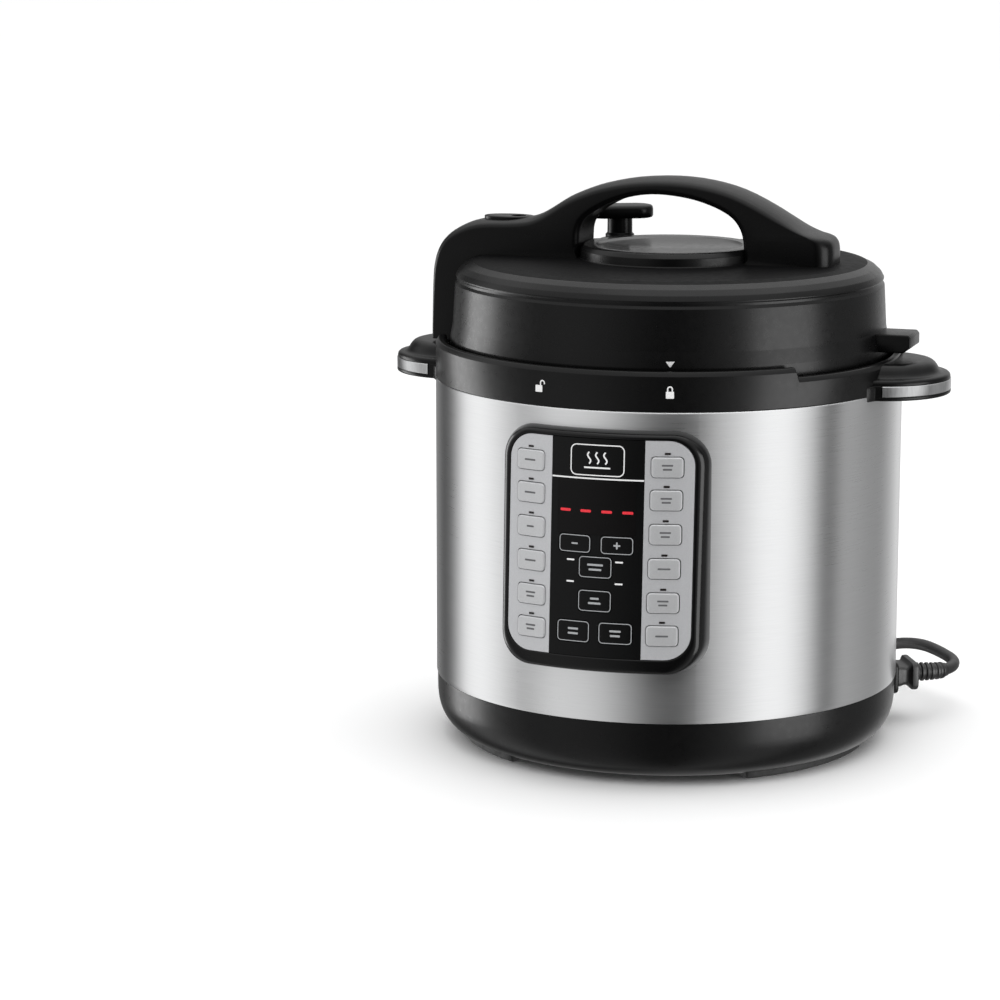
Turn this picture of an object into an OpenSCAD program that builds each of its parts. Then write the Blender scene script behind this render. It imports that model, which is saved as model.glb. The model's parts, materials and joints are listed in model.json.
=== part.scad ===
// Electric pressure cooker, 6 quart class: round steel body with a moulded base and collar,
// lock-on lid with an arched bar handle, lift-out inner pot, curved control panel at the front,
// plug-in mains lead at the rear right.
// Frame: +Z up, origin on the body axis at table level, panel towards -Y, side handles on +X and -X.

/* [Body] */
// outer radius of the steel sleeve
body_r = 135; // [120:0.5:150]
// height of the sleeve's lower edge above the table
sleeve_z0 = 33.8; // [30:0.5:45]
// height of the sleeve's upper edge
sleeve_z1 = 208; // [180:1:230]
// top of the collar's high rim
rim_hi = 230; // [220:0.5:240]
// top of the collar's low rim, where the fin and the arm travel
rim_lo = 224.5; // [215:0.5:230]
// standing height of the rubber feet
foot_h = 4; // [3:0.5:8]
// how far the feet reach below the drawing's zero
deck = 3.5; // [0:0.5:6]

/* [Inner pot] */
// inside radius of the pot
pot_r = 110; // [100:0.5:112]
// wall thickness of the pot
pot_t = 1.2; // [0.8:0.1:2]
// underside of the pot
pot_z = 57.4; // [50:0.1:65]

/* [Lid] */
// outer radius of the lid skirt inside the collar
lid_skirt_r = 126.6; // [126:0.1:129]
// height of the lid's flat top
lid_top = 276; // [270:0.5:285]
// width of the bar handle
bar_w = 36; // [28:1:44]

/* [Side handles] */
// plan radius of each handle
grip_r = 40.3; // [30:0.1:45]
// distance from the axis to the centre of the handle's round plan
grip_x = 124.7; // [118:0.1:130]

/* [Panel] */
// radius of the panel face at its lower edge
face_r = 149; // [140:0.5:152]
// how much the face leans back per millimetre of height
face_lean = 0.052; // [0:0.001:0.1]
// width of the panel frame
panel_w = 117.2; // [90:0.2:130]
// lower edge of the panel frame
panel_z0 = 63.5; // [50:0.5:80]
// upper edge of the panel frame
panel_z1 = 198; // [180:0.5:205]
// key travel
key_travel = 0.5; // [0.3:0.1:1]

/* [Lead] */
// diameter of the mains cord
cord_d = 7; // [5:0.1:8]
// direction of the inlet, degrees from +X towards +Y
inlet_a = 28; // [0:1:60]
// height of the inlet's axis
inlet_z = 24; // [18:0.5:30]
// middle of the coil
coil_x = -30; // [-60:1:0]
// middle of the coil
coil_y = 202; // [190:1:230]

/* [Hidden] */
$fn = 64;
e = 0.01;
key_z = [179.3, 161.3, 142.6, 123.8, 105.0, 86.8];
// side keys: x at each height, then centre keys as [x, z, w, h]
key_x = [39.5, 39.1, 38.6, 38.2, 37.7, 37.3];
key_xr = [38.2, 38, 37.9, 37.7, 37.5, 37.3];
// middle height of the printed face
face_z = 133.55;
mid_keys = [[-12, 135.7, 18.4, 10], [12, 135.7, 18.4, 10], [0, 123.2, 18.9, 12],
            [0, 104.6, 18.9, 12], [-12, 87.2, 18.9, 12], [12, 87.2, 18.9, 12]];
valve_x = -49; valve_y = 65;
float_x = -91;
lid_posts = [[75, 0], [-30, -72], [12, 76]];
// mains cord: points from the strain relief to the coil, and from the coil to the plug
lead = [[150.8, 83.6, 24], [152.4, 87.1, 24], [153.3, 91.4, 24], [153.5, 96.4, 24.1], [152.4, 103, 24.4],
        [149.4, 109.3, 24.8], [144.6, 115, 25.5], [138, 120.6, 26.6], [128.6, 128, 27.2], [116.6, 137.4, 25.4],
        [104.4, 146.6, 21.4], [92, 154.6, 15.8], [79.4, 160.2, 10], [66.6, 163.2, 5.4], [53, 164.4, 2.3],
        [38, 164.6, 0.5], [20, 164.2, 0.05], [4, 163.6, 0.05], [-14, 163.4, 0.05], [-30, 163.4, 0.05]];
tail = [[-30, 163, 7.1], [-38, 162.4, 6.9], [-46, 161.8, 6.5], [-54, 161.2, 6.2], [-62, 160.6, 6], [-70, 160.2, 6], [-77, 160, 6], [-84, 160, 6]];

function kx(i, s) = s < 0 ? -key_x[i] : key_xr[i];
function rf(z) = face_r - face_lean * (z - 64);
function unit(v) = v / norm(v);
function dir(p, i) = unit(p[min(i + 1, len(p) - 1)] - p[max(i - 1, 0)]);
function side(d) = unit(cross([0, 0, 1], d));

// outline with round corners
module rr(w, h, r) {
  square([w - 2 * r, h], center = true);
  square([w, h - 2 * r], center = true);
  for (x = [-1, 1], z = [-1, 1]) translate([x * (w / 2 - r), z * (h / 2 - r)]) circle(r = r);
}
// tube through the points, eight sides
module sweep(p, d, n = 8) {
  pts = [for (i = [0:len(p) - 1]) let (t = dir(p, i), s = side(t), u = cross(t, s))
         for (k = [0:n - 1]) p[i] + d / 2 * (cos(360 / n * k) * s + sin(360 / n * k) * u)];
  m = len(p);
  faces = concat([[for (k = [0:n - 1]) k]],
    [for (i = [0:m - 2], k = [0:n - 1]) [i * n + k, (i + 1) * n + k, (i + 1) * n + (k + 1) % n, i * n + (k + 1) % n]],
    [[for (k = [n - 1:-1:0]) (m - 1) * n + k]]);
  polyhedron(pts, faces, convexity = 4);
}
// ring of rectangular section
module ring(r0, r1, z0, z1) rotate_extrude($fn = 128) translate([r0, z0]) square([r1 - r0, z1 - z0]);
module sector(r0, r1, z0, z1, a0, a1) rotate([0, 0, a0]) rotate_extrude(angle = a1 - a0, $fn = 128) translate([r0, z0]) square([r1 - r0, z1 - z0]);
// part of the panel between two depths measured from its leaning face
module skin(d0, d1, z0 = 60, z1 = 200) rotate([0, 0, -90 - 32]) rotate_extrude(angle = 64, $fn = 128)
  polygon([[rf(z0) + d0, z0], [rf(z0) + d1, z0], [rf(z1) + d1, z1], [rf(z1) + d0, z1]]);
module front(x, z, y0 = 120, y1 = 160) translate([x, -y0, z]) rotate([90, 0, 0]) linear_extrude(y1 - y0) children();
// something that stands square to the panel at x, z
module at_key(x, z) rotate([0, 0, asin(x / rf(z))]) translate([0, 0, z]) children();
module key_prism(x, z, w, h, r, y0, y1) at_key(x, z) translate([0, -y0, 0]) rotate([90, 0, 0]) linear_extrude(y1 - y0) rr(w, h, r);
module key_holes(side_keys = true, mid = true) {
  if (side_keys) for (i = [0:5], s = [-1, 1]) key_prism(kx(i, s), key_z[i], 18.2, 11.7, 2.35, 128, 156);
  if (mid) for (k = mid_keys) key_prism(k[0], k[1], k[2] + 0.7, k[3] + 0.7, 2.6, 128, 156);
}
module key(x, z, w, h, r, proud) {
  intersection() {
    skin(-2.4, proud);
    key_prism(x, z, w, h, r, 128, 160);
  }
  at_key(x, z) translate([0, -131, 0]) rotate([90, 0, 0]) cylinder(r = 2, h = rf(z) - 131 - 1.4);
}

// ---------- base ----------
module base_pan() color([0.07, 0.07, 0.075]) difference() {
  rotate_extrude($fn = 128) polygon([[134.4, sleeve_z0], [134.4, 24], [133.7, 17], [131.8, 11], [128.6, 6], [124.6, 2.4], [121.6, 0.9], [119.8, 0.5],
    [100, 0.5], [100, 6], [92, 6], [92, 8.5], [117, 8.5], [121, 10], [126.5, 14.5], [129.8, 20], [131.2, 27], [131.2, 37.8], [134, 37.8], [134, sleeve_z0]]);
  // inlet opening
  rotate([0, 0, inlet_a]) translate([115, -13.5, inlet_z - 8.5]) cube([40, 27, 17]);
  // vents in the rear wall
  for (i = [-5:5]) rotate([0, 0, 120 + i * 3.2]) translate([124, -1.1, 22]) cube([16, 2.2, 10]);
  for (a = [20:90:359]) rotate([0, 0, a]) translate([96, 0, 5]) cylinder(r = 1.5, h = 5);
}
module bottom_plate() color([0.09, 0.09, 0.095]) difference() {
  translate([0, 0, 4]) cylinder(r = 99.7, h = 2, $fn = 128);
  for (a = [20:90:359]) rotate([0, 0, a]) translate([96, 0, 3]) cylinder(r = 1.5, h = 5);
  for (x = [-40:16:40]) translate([x - 2.5, -30, 3]) cube([5, 60, 5]);
}
module rubber_feet() color([0.03, 0.03, 0.03]) for (a = [-55, 62, 124, -124]) sector(101, 119.7, -deck, foot_h - deck, a - 90 - 24, a - 90 + 24);
module base_screws() color([0.7, 0.7, 0.72]) for (a = [20:90:359]) rotate([0, 0, a]) translate([96, 0, 0]) difference() {
  union() { translate([0, 0, 2.6]) cylinder(r = 2.7, h = 1.4); translate([0, 0, 4]) cylinder(r = 1.4, h = 4.4); }
  translate([-0.35, -2, 2.5]) cube([0.7, 4, 0.6]);
  translate([-2, -0.35, 2.5]) cube([4, 0.7, 0.6]);
}
module outer_shell() color([0.76, 0.76, 0.77]) difference() {
  ring(134.1, body_r, sleeve_z0, sleeve_z1);
  front(0, 132, 100, 160) rr(104, 118, 8);
}
module collar_ring() color([0.08, 0.08, 0.085]) difference() {
  rotate_extrude($fn = 128) polygon([[124.6, 208], [135, 208], [135, 229], [134.2, rim_hi], [130.2, rim_hi], [129.5, 229.3], [129.5, 211], [124.6, 211]]);
  sector(128, 137, rim_lo, 232, -43, 12);
  sector(128, 137, rim_lo, 232, 137, 192);
}
module side_grip() difference() {
  union() {
    translate([grip_x, 0, 205]) cylinder(r = grip_r - 0.9, h = 11.6);
    translate([grip_x, 0, 205]) cylinder(r = grip_r, h = 2.3);
    translate([grip_x, 0, 213.4]) cylinder(r = grip_r - 0.4, h = 3.2);
    intersection() { translate([grip_x, 0, 207]) cylinder(r = grip_r, h = 6.8); translate([110, -50, 200]) cube([24.3, 100, 20]); }
    translate([0, 0, 205]) linear_extrude(8.4) polygon([[120, -47.5], [126.4, -46.4], [129, -43.2], [131, -39.2], [131, 39.2], [129, 43.2], [126.4, 46.4], [120, 47.5]]);
    translate([grip_x, 0, 216.6]) cylinder(r = 34.5, h = 1.6);
    translate([grip_x, 0, 216.6]) cylinder(r = 30.4, h = 7.2);
  }
  cylinder(r = body_r, h = 300, $fn = 128);
  // finger recess from below
  difference() {
    translate([grip_x, 0, 204]) cylinder(r = 35.4, h = 8.6);
    cylinder(r = 138.6, h = 300, $fn = 128);
  }
}
module side_handle_right() color([0.07, 0.07, 0.075]) side_grip();
module side_handle_left() color([0.07, 0.07, 0.075]) rotate([0, 0, 180]) side_grip();
module handle_trims() color([0.78, 0.78, 0.79]) for (a = [0, 180]) rotate([0, 0, a]) difference() {
  translate([grip_x, 0, 207.3]) difference() { cylinder(r = grip_r, h = 6.1); translate([0, 0, -1]) cylinder(r = grip_r - 0.9, h = 10); }
  translate([110, -50, 200]) cube([24.5, 100, 20]);
  cylinder(r = body_r + 0.1, h = 300, $fn = 128);
}
module outer_pot() color([0.62, 0.63, 0.64]) {
  rotate_extrude($fn = 128) polygon([[96, 46.5], [108, 46.5], [113, 48.5], [115, 54], [115, 206], [129, 206], [129, 208], [124, 208], [124, 218],
    [122.5, 218], [122.5, 208], [113.5, 208], [113.5, 55], [112, 50.5], [107, 48], [96, 48]]);
  for (i = [0:7]) sector(121.7, 122.6, 215, 218, i * 45 - 9, i * 45 + 9);
}
module heating_plate() color([0.7, 0.7, 0.7]) difference() {
  union() { translate([0, 0, 50]) cylinder(r = 93, h = 7, $fn = 128); translate([0, 0, 44]) cylinder(r = 70, h = 6); }
  translate([0, 0, 40]) cylinder(r = 13.2, h = 30);
}
module sensor_spring() color([0.8, 0.8, 0.8]) translate([0, 0, 36]) difference() {
  cylinder(r = 7.6, h = 11.6); translate([0, 0, -1]) cylinder(r = 6.4, h = 14);
}
module temperature_sensor() color([0.85, 0.85, 0.85]) {
  translate([0, 0, 48]) cylinder(r = 12.6, h = 9);
  translate([0, 0, 40]) cylinder(r = 5.6, h = 8.5);
}
module power_board() color([0.1, 0.35, 0.2]) {
  translate([-72, -40, 14]) cube([70, 80, 1.6]);
  translate([-66, -34, 15.6]) cube([24, 20, 18]);
  translate([-36, -34, 15.6]) cube([16, 13, 15]);
  translate([-60, 14, 15.6]) cube([20, 18, 15]);
  for (p = [[-14, -24], [-14, -8], [-30, 20]]) translate([p[0], p[1], 15.6]) cylinder(r = 5, h = 15);
  for (x = [-68, -6], y = [-36, 36]) translate([x, y, 6]) cylinder(r = 2.6, h = 8);
}
module pressure_switch() color([0.8, 0.78, 0.7]) {
  translate([20, -26, 30]) cube([18, 12, 14]);
  translate([29, -20, 24]) cylinder(r = 3, h = 6);
}
module mains_inlet() color([0.05, 0.05, 0.05]) rotate([0, 0, inlet_a]) translate([0, 0, inlet_z]) difference() {
  union() {
    translate([116, -13, -8]) cube([22, 26, 16]);
    translate([134.5, 0, 0]) rotate([90, 0, 90]) linear_extrude(4) rr(32, 19, 4);
  }
  translate([119, -11.4, -7.2]) cube([30, 22.8, 14.4]);
}
module wiring() color([0.55, 0.1, 0.08]) {
  rotate([0, 0, inlet_a]) for (y = [-6, 0, 6]) translate([78, y, 22]) rotate([0, 90, 0]) cylinder(r = 1.1, h = 38);
  for (y = [-4, 4]) translate([26, y + 8, 30]) cylinder(r = 1.1, h = 14);
  for (y = [-4, 4]) translate([-2, y + 8, 14.8]) rotate([0, 90, 0]) cylinder(r = 1.1, h = 29);
  for (y = [-4, 4]) translate([26, y + 8, 13.7]) cylinder(r = 1.1, h = 17);
}

// ---------- control panel ----------
module panel_bezel() color([0.03, 0.03, 0.035]) difference() {
  intersection() {
    rotate([0, 0, -122]) rotate_extrude(angle = 64, $fn = 128) polygon([[135, 60], [rf(60), 60], [rf(200), 200], [135, 200]]);
    front(0, (panel_z0 + panel_z1) / 2) rr(panel_w, panel_z1 - panel_z0, 19);
  }
  intersection() { skin(-1.2, 3); front(0, face_z) rr(104.8, 120.3, 14); }
  intersection() {
    rotate([0, 0, -122]) rotate_extrude(angle = 64, $fn = 128) polygon([[130, 60], [rf(60) - 3.2, 60], [rf(200) - 3.2, 200], [130, 200]]);
    front(0, face_z) rr(97, 110, 8);
  }
  key_holes();
  front(0, 156) rr(41, 26, 1);
}
module panel_fascia() color([0.02, 0.02, 0.022]) difference() {
  intersection() { skin(-1.2, -0.2); front(0, face_z) square([52.2, 120.1], center = true); }
  key_holes(side_keys = false);
  front(0, 156) rr(44.2, 30.2, 1.2);
}
module panel_strips() color([0.72, 0.73, 0.74]) difference() {
  intersection() { skin(-1.2, -0.2); front(0, face_z) rr(104.6, 120.1, 13.9); }
  front(0, face_z) square([52.6, 140], center = true);
  key_holes(mid = false);
}
module display_window() color([0.06, 0.01, 0.01]) intersection() { skin(-1.2, -0.2); front(0, 156) rr(44, 30, 1.1); }
module indicator_lamps() color([0.85, 0.1, 0.08]) {
  for (i = [0:5], s = [-1, 1]) intersection() { skin(-0.2, 0.05); key_prism(kx(i, s), key_z[i] + 7.3, 3, 1, 0.45, 130, 160); }
  for (x = [-17.7, -6, 5.9, 17.6]) intersection() { skin(-0.2, 0.02); front(x, 153.9) square([5.8, 1.4], center = true); }
}
module control_board() color([0.1, 0.35, 0.2]) {
  translate([-46, -124, 72]) cube([92, 1.6, 118]);
  for (i = [0:5], s = [-1, 1]) at_key(kx(i, s), key_z[i]) let (a = asin(abs(kx(i, s)) / rf(key_z[i])), r0 = 123.6 / cos(a)) translate([0, -r0, 0]) rotate([90, 0, 0]) cylinder(r = 2.6, h = 130.1 - r0);
  for (k = mid_keys) at_key(k[0], k[1]) let (a = asin(abs(k[0]) / rf(k[1])), r0 = 123.6 / cos(a)) translate([0, -r0, 0]) rotate([90, 0, 0]) cylinder(r = 2.6, h = 130.1 - r0);
  translate([-19.5, -140, 144.5]) cube([39, 16.4, 23]);
  for (x = [-42, 42], z = [76, 186]) translate([x, -122.6, z]) rotate([-90, 0, 0]) cylinder(r = 2.4, h = 2);
}
module key_profile_l1() color([0.74, 0.75, 0.76]) key(-key_x[0], key_z[0], 17.5, 11, 2, 0.9);
module key_profile_l2() color([0.74, 0.75, 0.76]) key(-key_x[1], key_z[1], 17.5, 11, 2, 0.9);
module key_profile_l3() color([0.74, 0.75, 0.76]) key(-key_x[2], key_z[2], 17.5, 11, 2, 0.9);
module key_profile_l4() color([0.74, 0.75, 0.76]) key(-key_x[3], key_z[3], 17.5, 11, 2, 0.9);
module key_profile_l5() color([0.74, 0.75, 0.76]) key(-key_x[4], key_z[4], 17.5, 11, 2, 0.9);
module key_profile_l6() color([0.74, 0.75, 0.76]) key(-key_x[5], key_z[5], 17.5, 11, 2, 0.9);
module key_profile_r1() color([0.74, 0.75, 0.76]) key(key_xr[0], key_z[0], 17.5, 11, 2, 0.9);
module key_profile_r2() color([0.74, 0.75, 0.76]) key(key_xr[1], key_z[1], 17.5, 11, 2, 0.9);
module key_profile_r3() color([0.74, 0.75, 0.76]) key(key_xr[2], key_z[2], 17.5, 11, 2, 0.9);
module key_profile_r4() color([0.74, 0.75, 0.76]) key(key_xr[3], key_z[3], 17.5, 11, 2, 0.9);
module key_profile_r5() color([0.74, 0.75, 0.76]) key(key_xr[4], key_z[4], 17.5, 11, 2, 0.9);
module key_profile_r6() color([0.74, 0.75, 0.76]) key(key_xr[5], key_z[5], 17.5, 11, 2, 0.9);
module mid_key(i) color([0.03, 0.03, 0.032]) key(mid_keys[i][0], mid_keys[i][1], mid_keys[i][2], mid_keys[i][3], 2.3, 0.1);
module key_minus() mid_key(0);
module key_plus() mid_key(1);
module key_pressure() mid_key(2);
module key_temperature() mid_key(3);
module key_delay() mid_key(4);
module key_start() mid_key(5);

// ---------- rear cup ----------
module condensation_collector() color([0.75, 0.78, 0.8, 0.5]) difference() {
  translate([0, 0, 150]) linear_extrude(46) translate([0, 139]) rr(52, 20, 4);
  cylinder(r = 135.5, h = 300, $fn = 128);
  difference() {
    translate([0, 0, 151.8]) linear_extrude(50) translate([0, 139]) rr(48.8, 16.8, 2.6);
    cylinder(r = 137.1, h = 300, $fn = 128);
  }
}

// ---------- inner pot ----------
module inner_pot() color([0.75, 0.75, 0.76]) rotate_extrude($fn = 128) polygon([[0, pot_z], [103, pot_z], [108.5, pot_z + 1.8], [111.2, pot_z + 8],
  [111.2, 208.4], [116, 208.4], [116.4, 209.4], [116.4, 211.4], [115.8, 212], [111.6, 212], [110.4, 211.2], [pot_r, 209.5],
  [pot_r, pot_z + 9], [107.6, pot_z + 3.6], [102.6, pot_z + 2], [0, pot_z + 2]]);

// ---------- lid ----------
module sealing_ring() color([0.88, 0.88, 0.86]) rotate_extrude($fn = 128) polygon([[107.4, 214], [109, 212.5], [115.4, 212.5], [116.6, 214], [116.6, 221], [113.8, 221], [113.8, 215.6], [110.2, 215.6], [110.2, 221], [107.4, 221]]);
module lid_plate() color([0.78, 0.78, 0.79]) difference() {
  union() {
    rotate_extrude($fn = 128) polygon([[0, 262], [96, 262], [108, 257], [115, 248], [119.2, 236], [119.2, 210.5], [117.2, 210.5], [117.2, 235], [113.4, 246.6], [107, 255], [95.6, 260], [0, 260]]);
    for (i = [0:7]) sector(119, 121.2, 210.5, 213.5, i * 45 - 9, i * 45 + 9);
  }
  translate([valve_x, valve_y, 250]) cylinder(r = 4, h = 20);
  translate([float_x, 0, 250]) cylinder(r = 3.6, h = 20);
  for (p = lid_posts) translate([p[0], p[1], 250]) cylinder(r = 1.9, h = 20);
}
module ring_rack() color([0.8, 0.8, 0.81]) {
  rotate_extrude($fn = 128) translate([104.8, 214.6]) circle(r = 1.2, $fn = 24);
  for (i = [0:7]) rotate([0, 0, i * 45 + 20]) translate([104.8, 0, 214.6]) cylinder(r = 1.1, h = 41.4, $fn = 24);
}
module anti_block_shield() color([0.8, 0.8, 0.81]) translate([valve_x, valve_y, 0]) difference() {
  translate([0, 0, 247]) cylinder(r = 13, h = 13);
  translate([0, 0, 248.2]) cylinder(r = 11.8, h = 20);
  for (a = [0:30:359]) rotate([0, 0, a]) translate([10, -1, 250]) cube([6, 2, 7]);
}
module valve_pipe() color([0.8, 0.8, 0.82]) translate([valve_x, valve_y, 0]) difference() {
  union() { translate([0, 0, 256]) cylinder(r = 4, h = 32); translate([0, 0, 257]) cylinder(r = 7, h = 3); translate([0, 0, 262]) cylinder(r = 6.5, h = 4, $fn = 6); }
  translate([0, 0, 250]) cylinder(r = 1.6, h = 45);
}
module lid_cover() color([0.07, 0.07, 0.075]) difference() {
  union() {
    rotate_extrude($fn = 128) polygon([[124.4, 213], [lid_skirt_r, 213], [lid_skirt_r, 231], [125.1, 239], [123.7, 263.6], [122.7, 264.4], [122.7, 265.8], [123.4, 266.4], [121.6, 269.6], [118.4, 272.5], [114, 274.7], [108, 275.9], [106, lid_top],
      [51.5, lid_top], [51.5, 281.6], [49.6, 284], [41, 284], [39.6, 282.8], [0, 282.8],
      [0, 280.2], [41, 280.2], [41, 273.6], [106, 273.6], [120.2, 265], [121.4, 262], [122.8, 239], [124.4, 230]]);
    // fin over the right handle
    difference() {
      intersection() {
        translate([118, -13, 228.5]) cube([26.6, 26, 10.7]);
        translate([0, 20, 0]) rotate([90, 0, 0]) linear_extrude(40) polygon([[116, 228.5], [140.6, 228.5], [144.6, 231.6], [144.6, 236.8], [142.1, 239.2], [116, 239.2]]);
      }
      cylinder(r = 124.2, h = 300, $fn = 128);
    }
    // valve boss and screw posts
    translate([valve_x, valve_y, 274]) cylinder(r = 12.4, h = 4.6);
    for (p = lid_posts) translate([p[0], p[1], 262]) cylinder(r = 5, h = 14);
  }
  translate([valve_x, valve_y, 250]) cylinder(r = 5.2, h = 40);
  translate([float_x, 0, 250]) cylinder(r = 5, h = 40);
  for (p = lid_posts) translate([p[0], p[1], 250]) cylinder(r = 1.5, h = 23);
}
module lid_screws() color([0.8, 0.8, 0.82]) for (p = lid_posts) translate([p[0], p[1], 0]) {
  difference() { translate([0, 0, 258.4]) cylinder(r = 3.4, h = 1.6); translate([-2, -0.4, 258]) cube([4, 0.8, 1]); translate([-0.4, -2, 258]) cube([0.8, 4, 1]); }
  translate([0, 0, 260]) cylinder(r = 1.4, h = 12);
}
bar_side = [[-140.3, 225.2], [-140.4, 240], [-140.4, 258], [-140, 268], [-138.2, 276.5], [-134.6, 282.6], [-128.6, 288.4], [-121.8, 292.2], [-114.5, 294.4], [-106, 295.2], [-81.4, 296.2],
  [-74.5, 299.5], [-68.8, 302.6], [-58.8, 308.4], [-48, 312.6], [-37.1, 316], [-18.6, 319.6], [6.6, 321.1], [24.2, 319], [42.3, 314.3], [60.4, 306.2], [78.3, 294.6],
  [84.3, 291.4], [91, 290.4], [95.6, 288.6], [98.4, 284.8], [98.4, 276], [51.7, 276], [48.6, 284], [47.4, 291.3], [46, 294.8], [42.6, 300.5], [33.8, 306], [18.2, 311.3], [-6, 313.8], [-28, 309.3],
  [-42.4, 301.7], [-48.8, 296.2], [-50, 292.1], [-50.2, 284], [-51.7, 276], [-106, 276], [-108, 275.9], [-114, 274.7], [-118.4, 272.5], [-121.6, 269.6], [-123.5, 266.4], [-123.6, 258], [-124.6, 239], [-126, 232], [-126.2, 225.2]];
crest = [[-70, 299], [-68.8, 303.6], [-58.8, 310], [-48, 314.5], [-37.1, 318], [-18.6, 321.9], [4, 323.5], [24.2, 321.3], [42.3, 316.4], [60.4, 308], [76, 297], [60, 297], [30, 314.4], [0, 317], [-30, 314.4], [-58, 300]];
module bar_cut(w, p) translate([0, w / 2, 0]) rotate([90, 0, 0]) linear_extrude(w) polygon(p);
module lid_handle() color([0.07, 0.07, 0.075]) difference() {
  union() {
    bar_cut(bar_w, bar_side);
    bar_cut(bar_w - 14, crest);
  }
  // seat on the lid's round parts
  rotate_extrude($fn = 128) polygon([[0, 200], [lid_skirt_r + 0.1, 200], [lid_skirt_r + 0.1, 231], [125.2, 239], [123.9, 262], [0, 262]]);
  translate([0, 0, 270]) cylinder(r = 51.6, h = 14.1, $fn = 128);
  translate([float_x, 0, 260]) cylinder(r = 5, h = 50);
  // the tail's round end
  difference() {
    translate([88.4, -19, 270]) cube([12, 38, 40]);
    for (s = [-1, 1]) translate([88.4, s * 8, 260]) cylinder(r = 10, h = 60);
    translate([86.4, -8, 260]) cube([12, 16, 60]);
  }
}
module steam_valve_knob() color([0.07, 0.07, 0.075]) translate([valve_x, valve_y, 0]) difference() {
  union() {
    translate([0, 0, 279.2]) cylinder(r = 8.6, h = 2.4);
    translate([0, 0, 279.2]) cylinder(r = 7.5, h = 13);
    translate([0, 0, 291.4]) linear_extrude(7.6) rotate([0, 0, 25]) rr(40, 22, 9);
  }
  translate([0, 0, 270]) cylinder(r = 4.06, h = 18.4);
}
module float_valve() color([0.8, 0.8, 0.82]) translate([float_x, 0, 0]) {
  translate([0, 0, 252.4]) cylinder(r = 5.6, h = 2.4);
  translate([0, 0, 254.8]) cylinder(r = 3, h = 32);
  translate([0, 0, 286]) cylinder(r = 4.2, h = 5.6);
}
module float_seal() color([0.85, 0.3, 0.2]) translate([float_x, 0, 254.8]) difference() { cylinder(r = 5.2, h = 1.2); translate([0, 0, -1]) cylinder(r = 3, h = 4); }
module interlock_pin() color([0.8, 0.8, 0.82]) translate([-108.8, 24, 266]) rotate([0, 90, 0]) { cylinder(r = 2, h = 22.8); translate([0, 0, 7.8]) cylinder(r = 3.4, h = 1.6); }
module interlock_spring() color([0.8, 0.8, 0.82]) translate([-98.8, 24, 266]) rotate([0, 90, 0]) difference() { cylinder(r = 3.3, h = 10); translate([0, 0, -1]) cylinder(r = 2.4, h = 12); }

// ---------- mains lead ----------
module power_connector() color([0.3, 0.29, 0.31]) rotate([0, 0, inlet_a]) translate([0, 0, inlet_z]) {
  translate([120, -11, -6.9]) cube([19, 22, 13.8]);
  translate([138.8, 0, 0]) rotate([90, 0, 90]) linear_extrude(8.7) rr(24, 12.8, 3);
  translate([147.5, 0, 0]) rotate([90, 0, 90]) linear_extrude(4) rr(27, 16.6, 3.5);
  translate([151.5, 0, 0]) rotate([0, 90, 0]) cylinder(r = 6.2, h = 2.4);
  translate([151.5, 0, 0]) rotate([0, 90, 0]) cylinder(r = 4.6, h = 11.5);
  for (i = [0:2]) translate([155 + i * 3, 0, 0]) rotate([0, 90, 0]) cylinder(r = 6 - i * 0.2, h = 1.9);
  translate([163, 16, 0]) rotate([0, 0, -90]) rotate_extrude(angle = 36, $fn = 128) translate([16, 0]) circle(r = 4.4, $fn = 32);
}
module cord_lead() color([0.16, 0.15, 0.16]) { sweep(lead, cord_d); sweep(tail, cord_d); }
module cord_coil() color([0.16, 0.15, 0.16]) translate([coil_x, coil_y, -deck]) rotate_extrude($fn = 96) polygon([[27.6, 0.05], [42.2, 0.05], [42.6, 10], [39.8, 14], [31, 14], [27.8, 10]]);
module mains_plug() color([0.1, 0.1, 0.1]) translate([-84, 160, -deck]) {
  translate([0, 0, 9.5]) rotate([0, -90, 0]) cylinder(r = 4.8, h = 8);
  translate([-8, 0, 9.5]) rotate([0, -90, 0]) cylinder(r = 5.6, h = 8);
  translate([-15.5, 0, 11]) rotate([90, 0, -90]) linear_extrude(22) rr(24, 21.9, 6);
  translate([-37, 0, 11]) for (y = [-6.35, 6.35]) translate([-18, y - 0.75, -1]) cube([18.5, 1.5, 6.3]);
  translate([-37, 0, 6]) rotate([0, -90, 0]) cylinder(r = 2.4, h = 20);
}

// which node to draw

// the feet reach deck below the drawing's zero
translate([0, 0, deck]) {
base_pan();
bottom_plate();
rubber_feet();
base_screws();
outer_shell();
collar_ring();
side_handle_right();
side_handle_left();
handle_trims();
outer_pot();
heating_plate();
sensor_spring();
temperature_sensor();
power_board();
pressure_switch();
mains_inlet();
wiring();
panel_bezel();
panel_fascia();
panel_strips();
display_window();
indicator_lamps();
control_board();
key_profile_l1();
key_profile_l2();
key_profile_l3();
key_profile_l4();
key_profile_l5();
key_profile_l6();
key_profile_r1();
key_profile_r2();
key_profile_r3();
key_profile_r4();
key_profile_r5();
key_profile_r6();
key_minus();
key_plus();
key_pressure();
key_temperature();
key_delay();
key_start();
condensation_collector();
inner_pot();
sealing_ring();
lid_plate();
ring_rack();
anti_block_shield();
valve_pipe();
lid_cover();
lid_screws();
lid_handle();
steam_valve_knob();
float_valve();
float_seal();
interlock_pin();
interlock_spring();
power_connector();
cord_lead();
cord_coil();
mains_plug();
}
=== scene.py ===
import math
import json
import bpy
import bmesh
from mathutils import Vector, Matrix
from mathutils.geometry import tessellate_polygon, delaunay_2d_cdt

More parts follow.
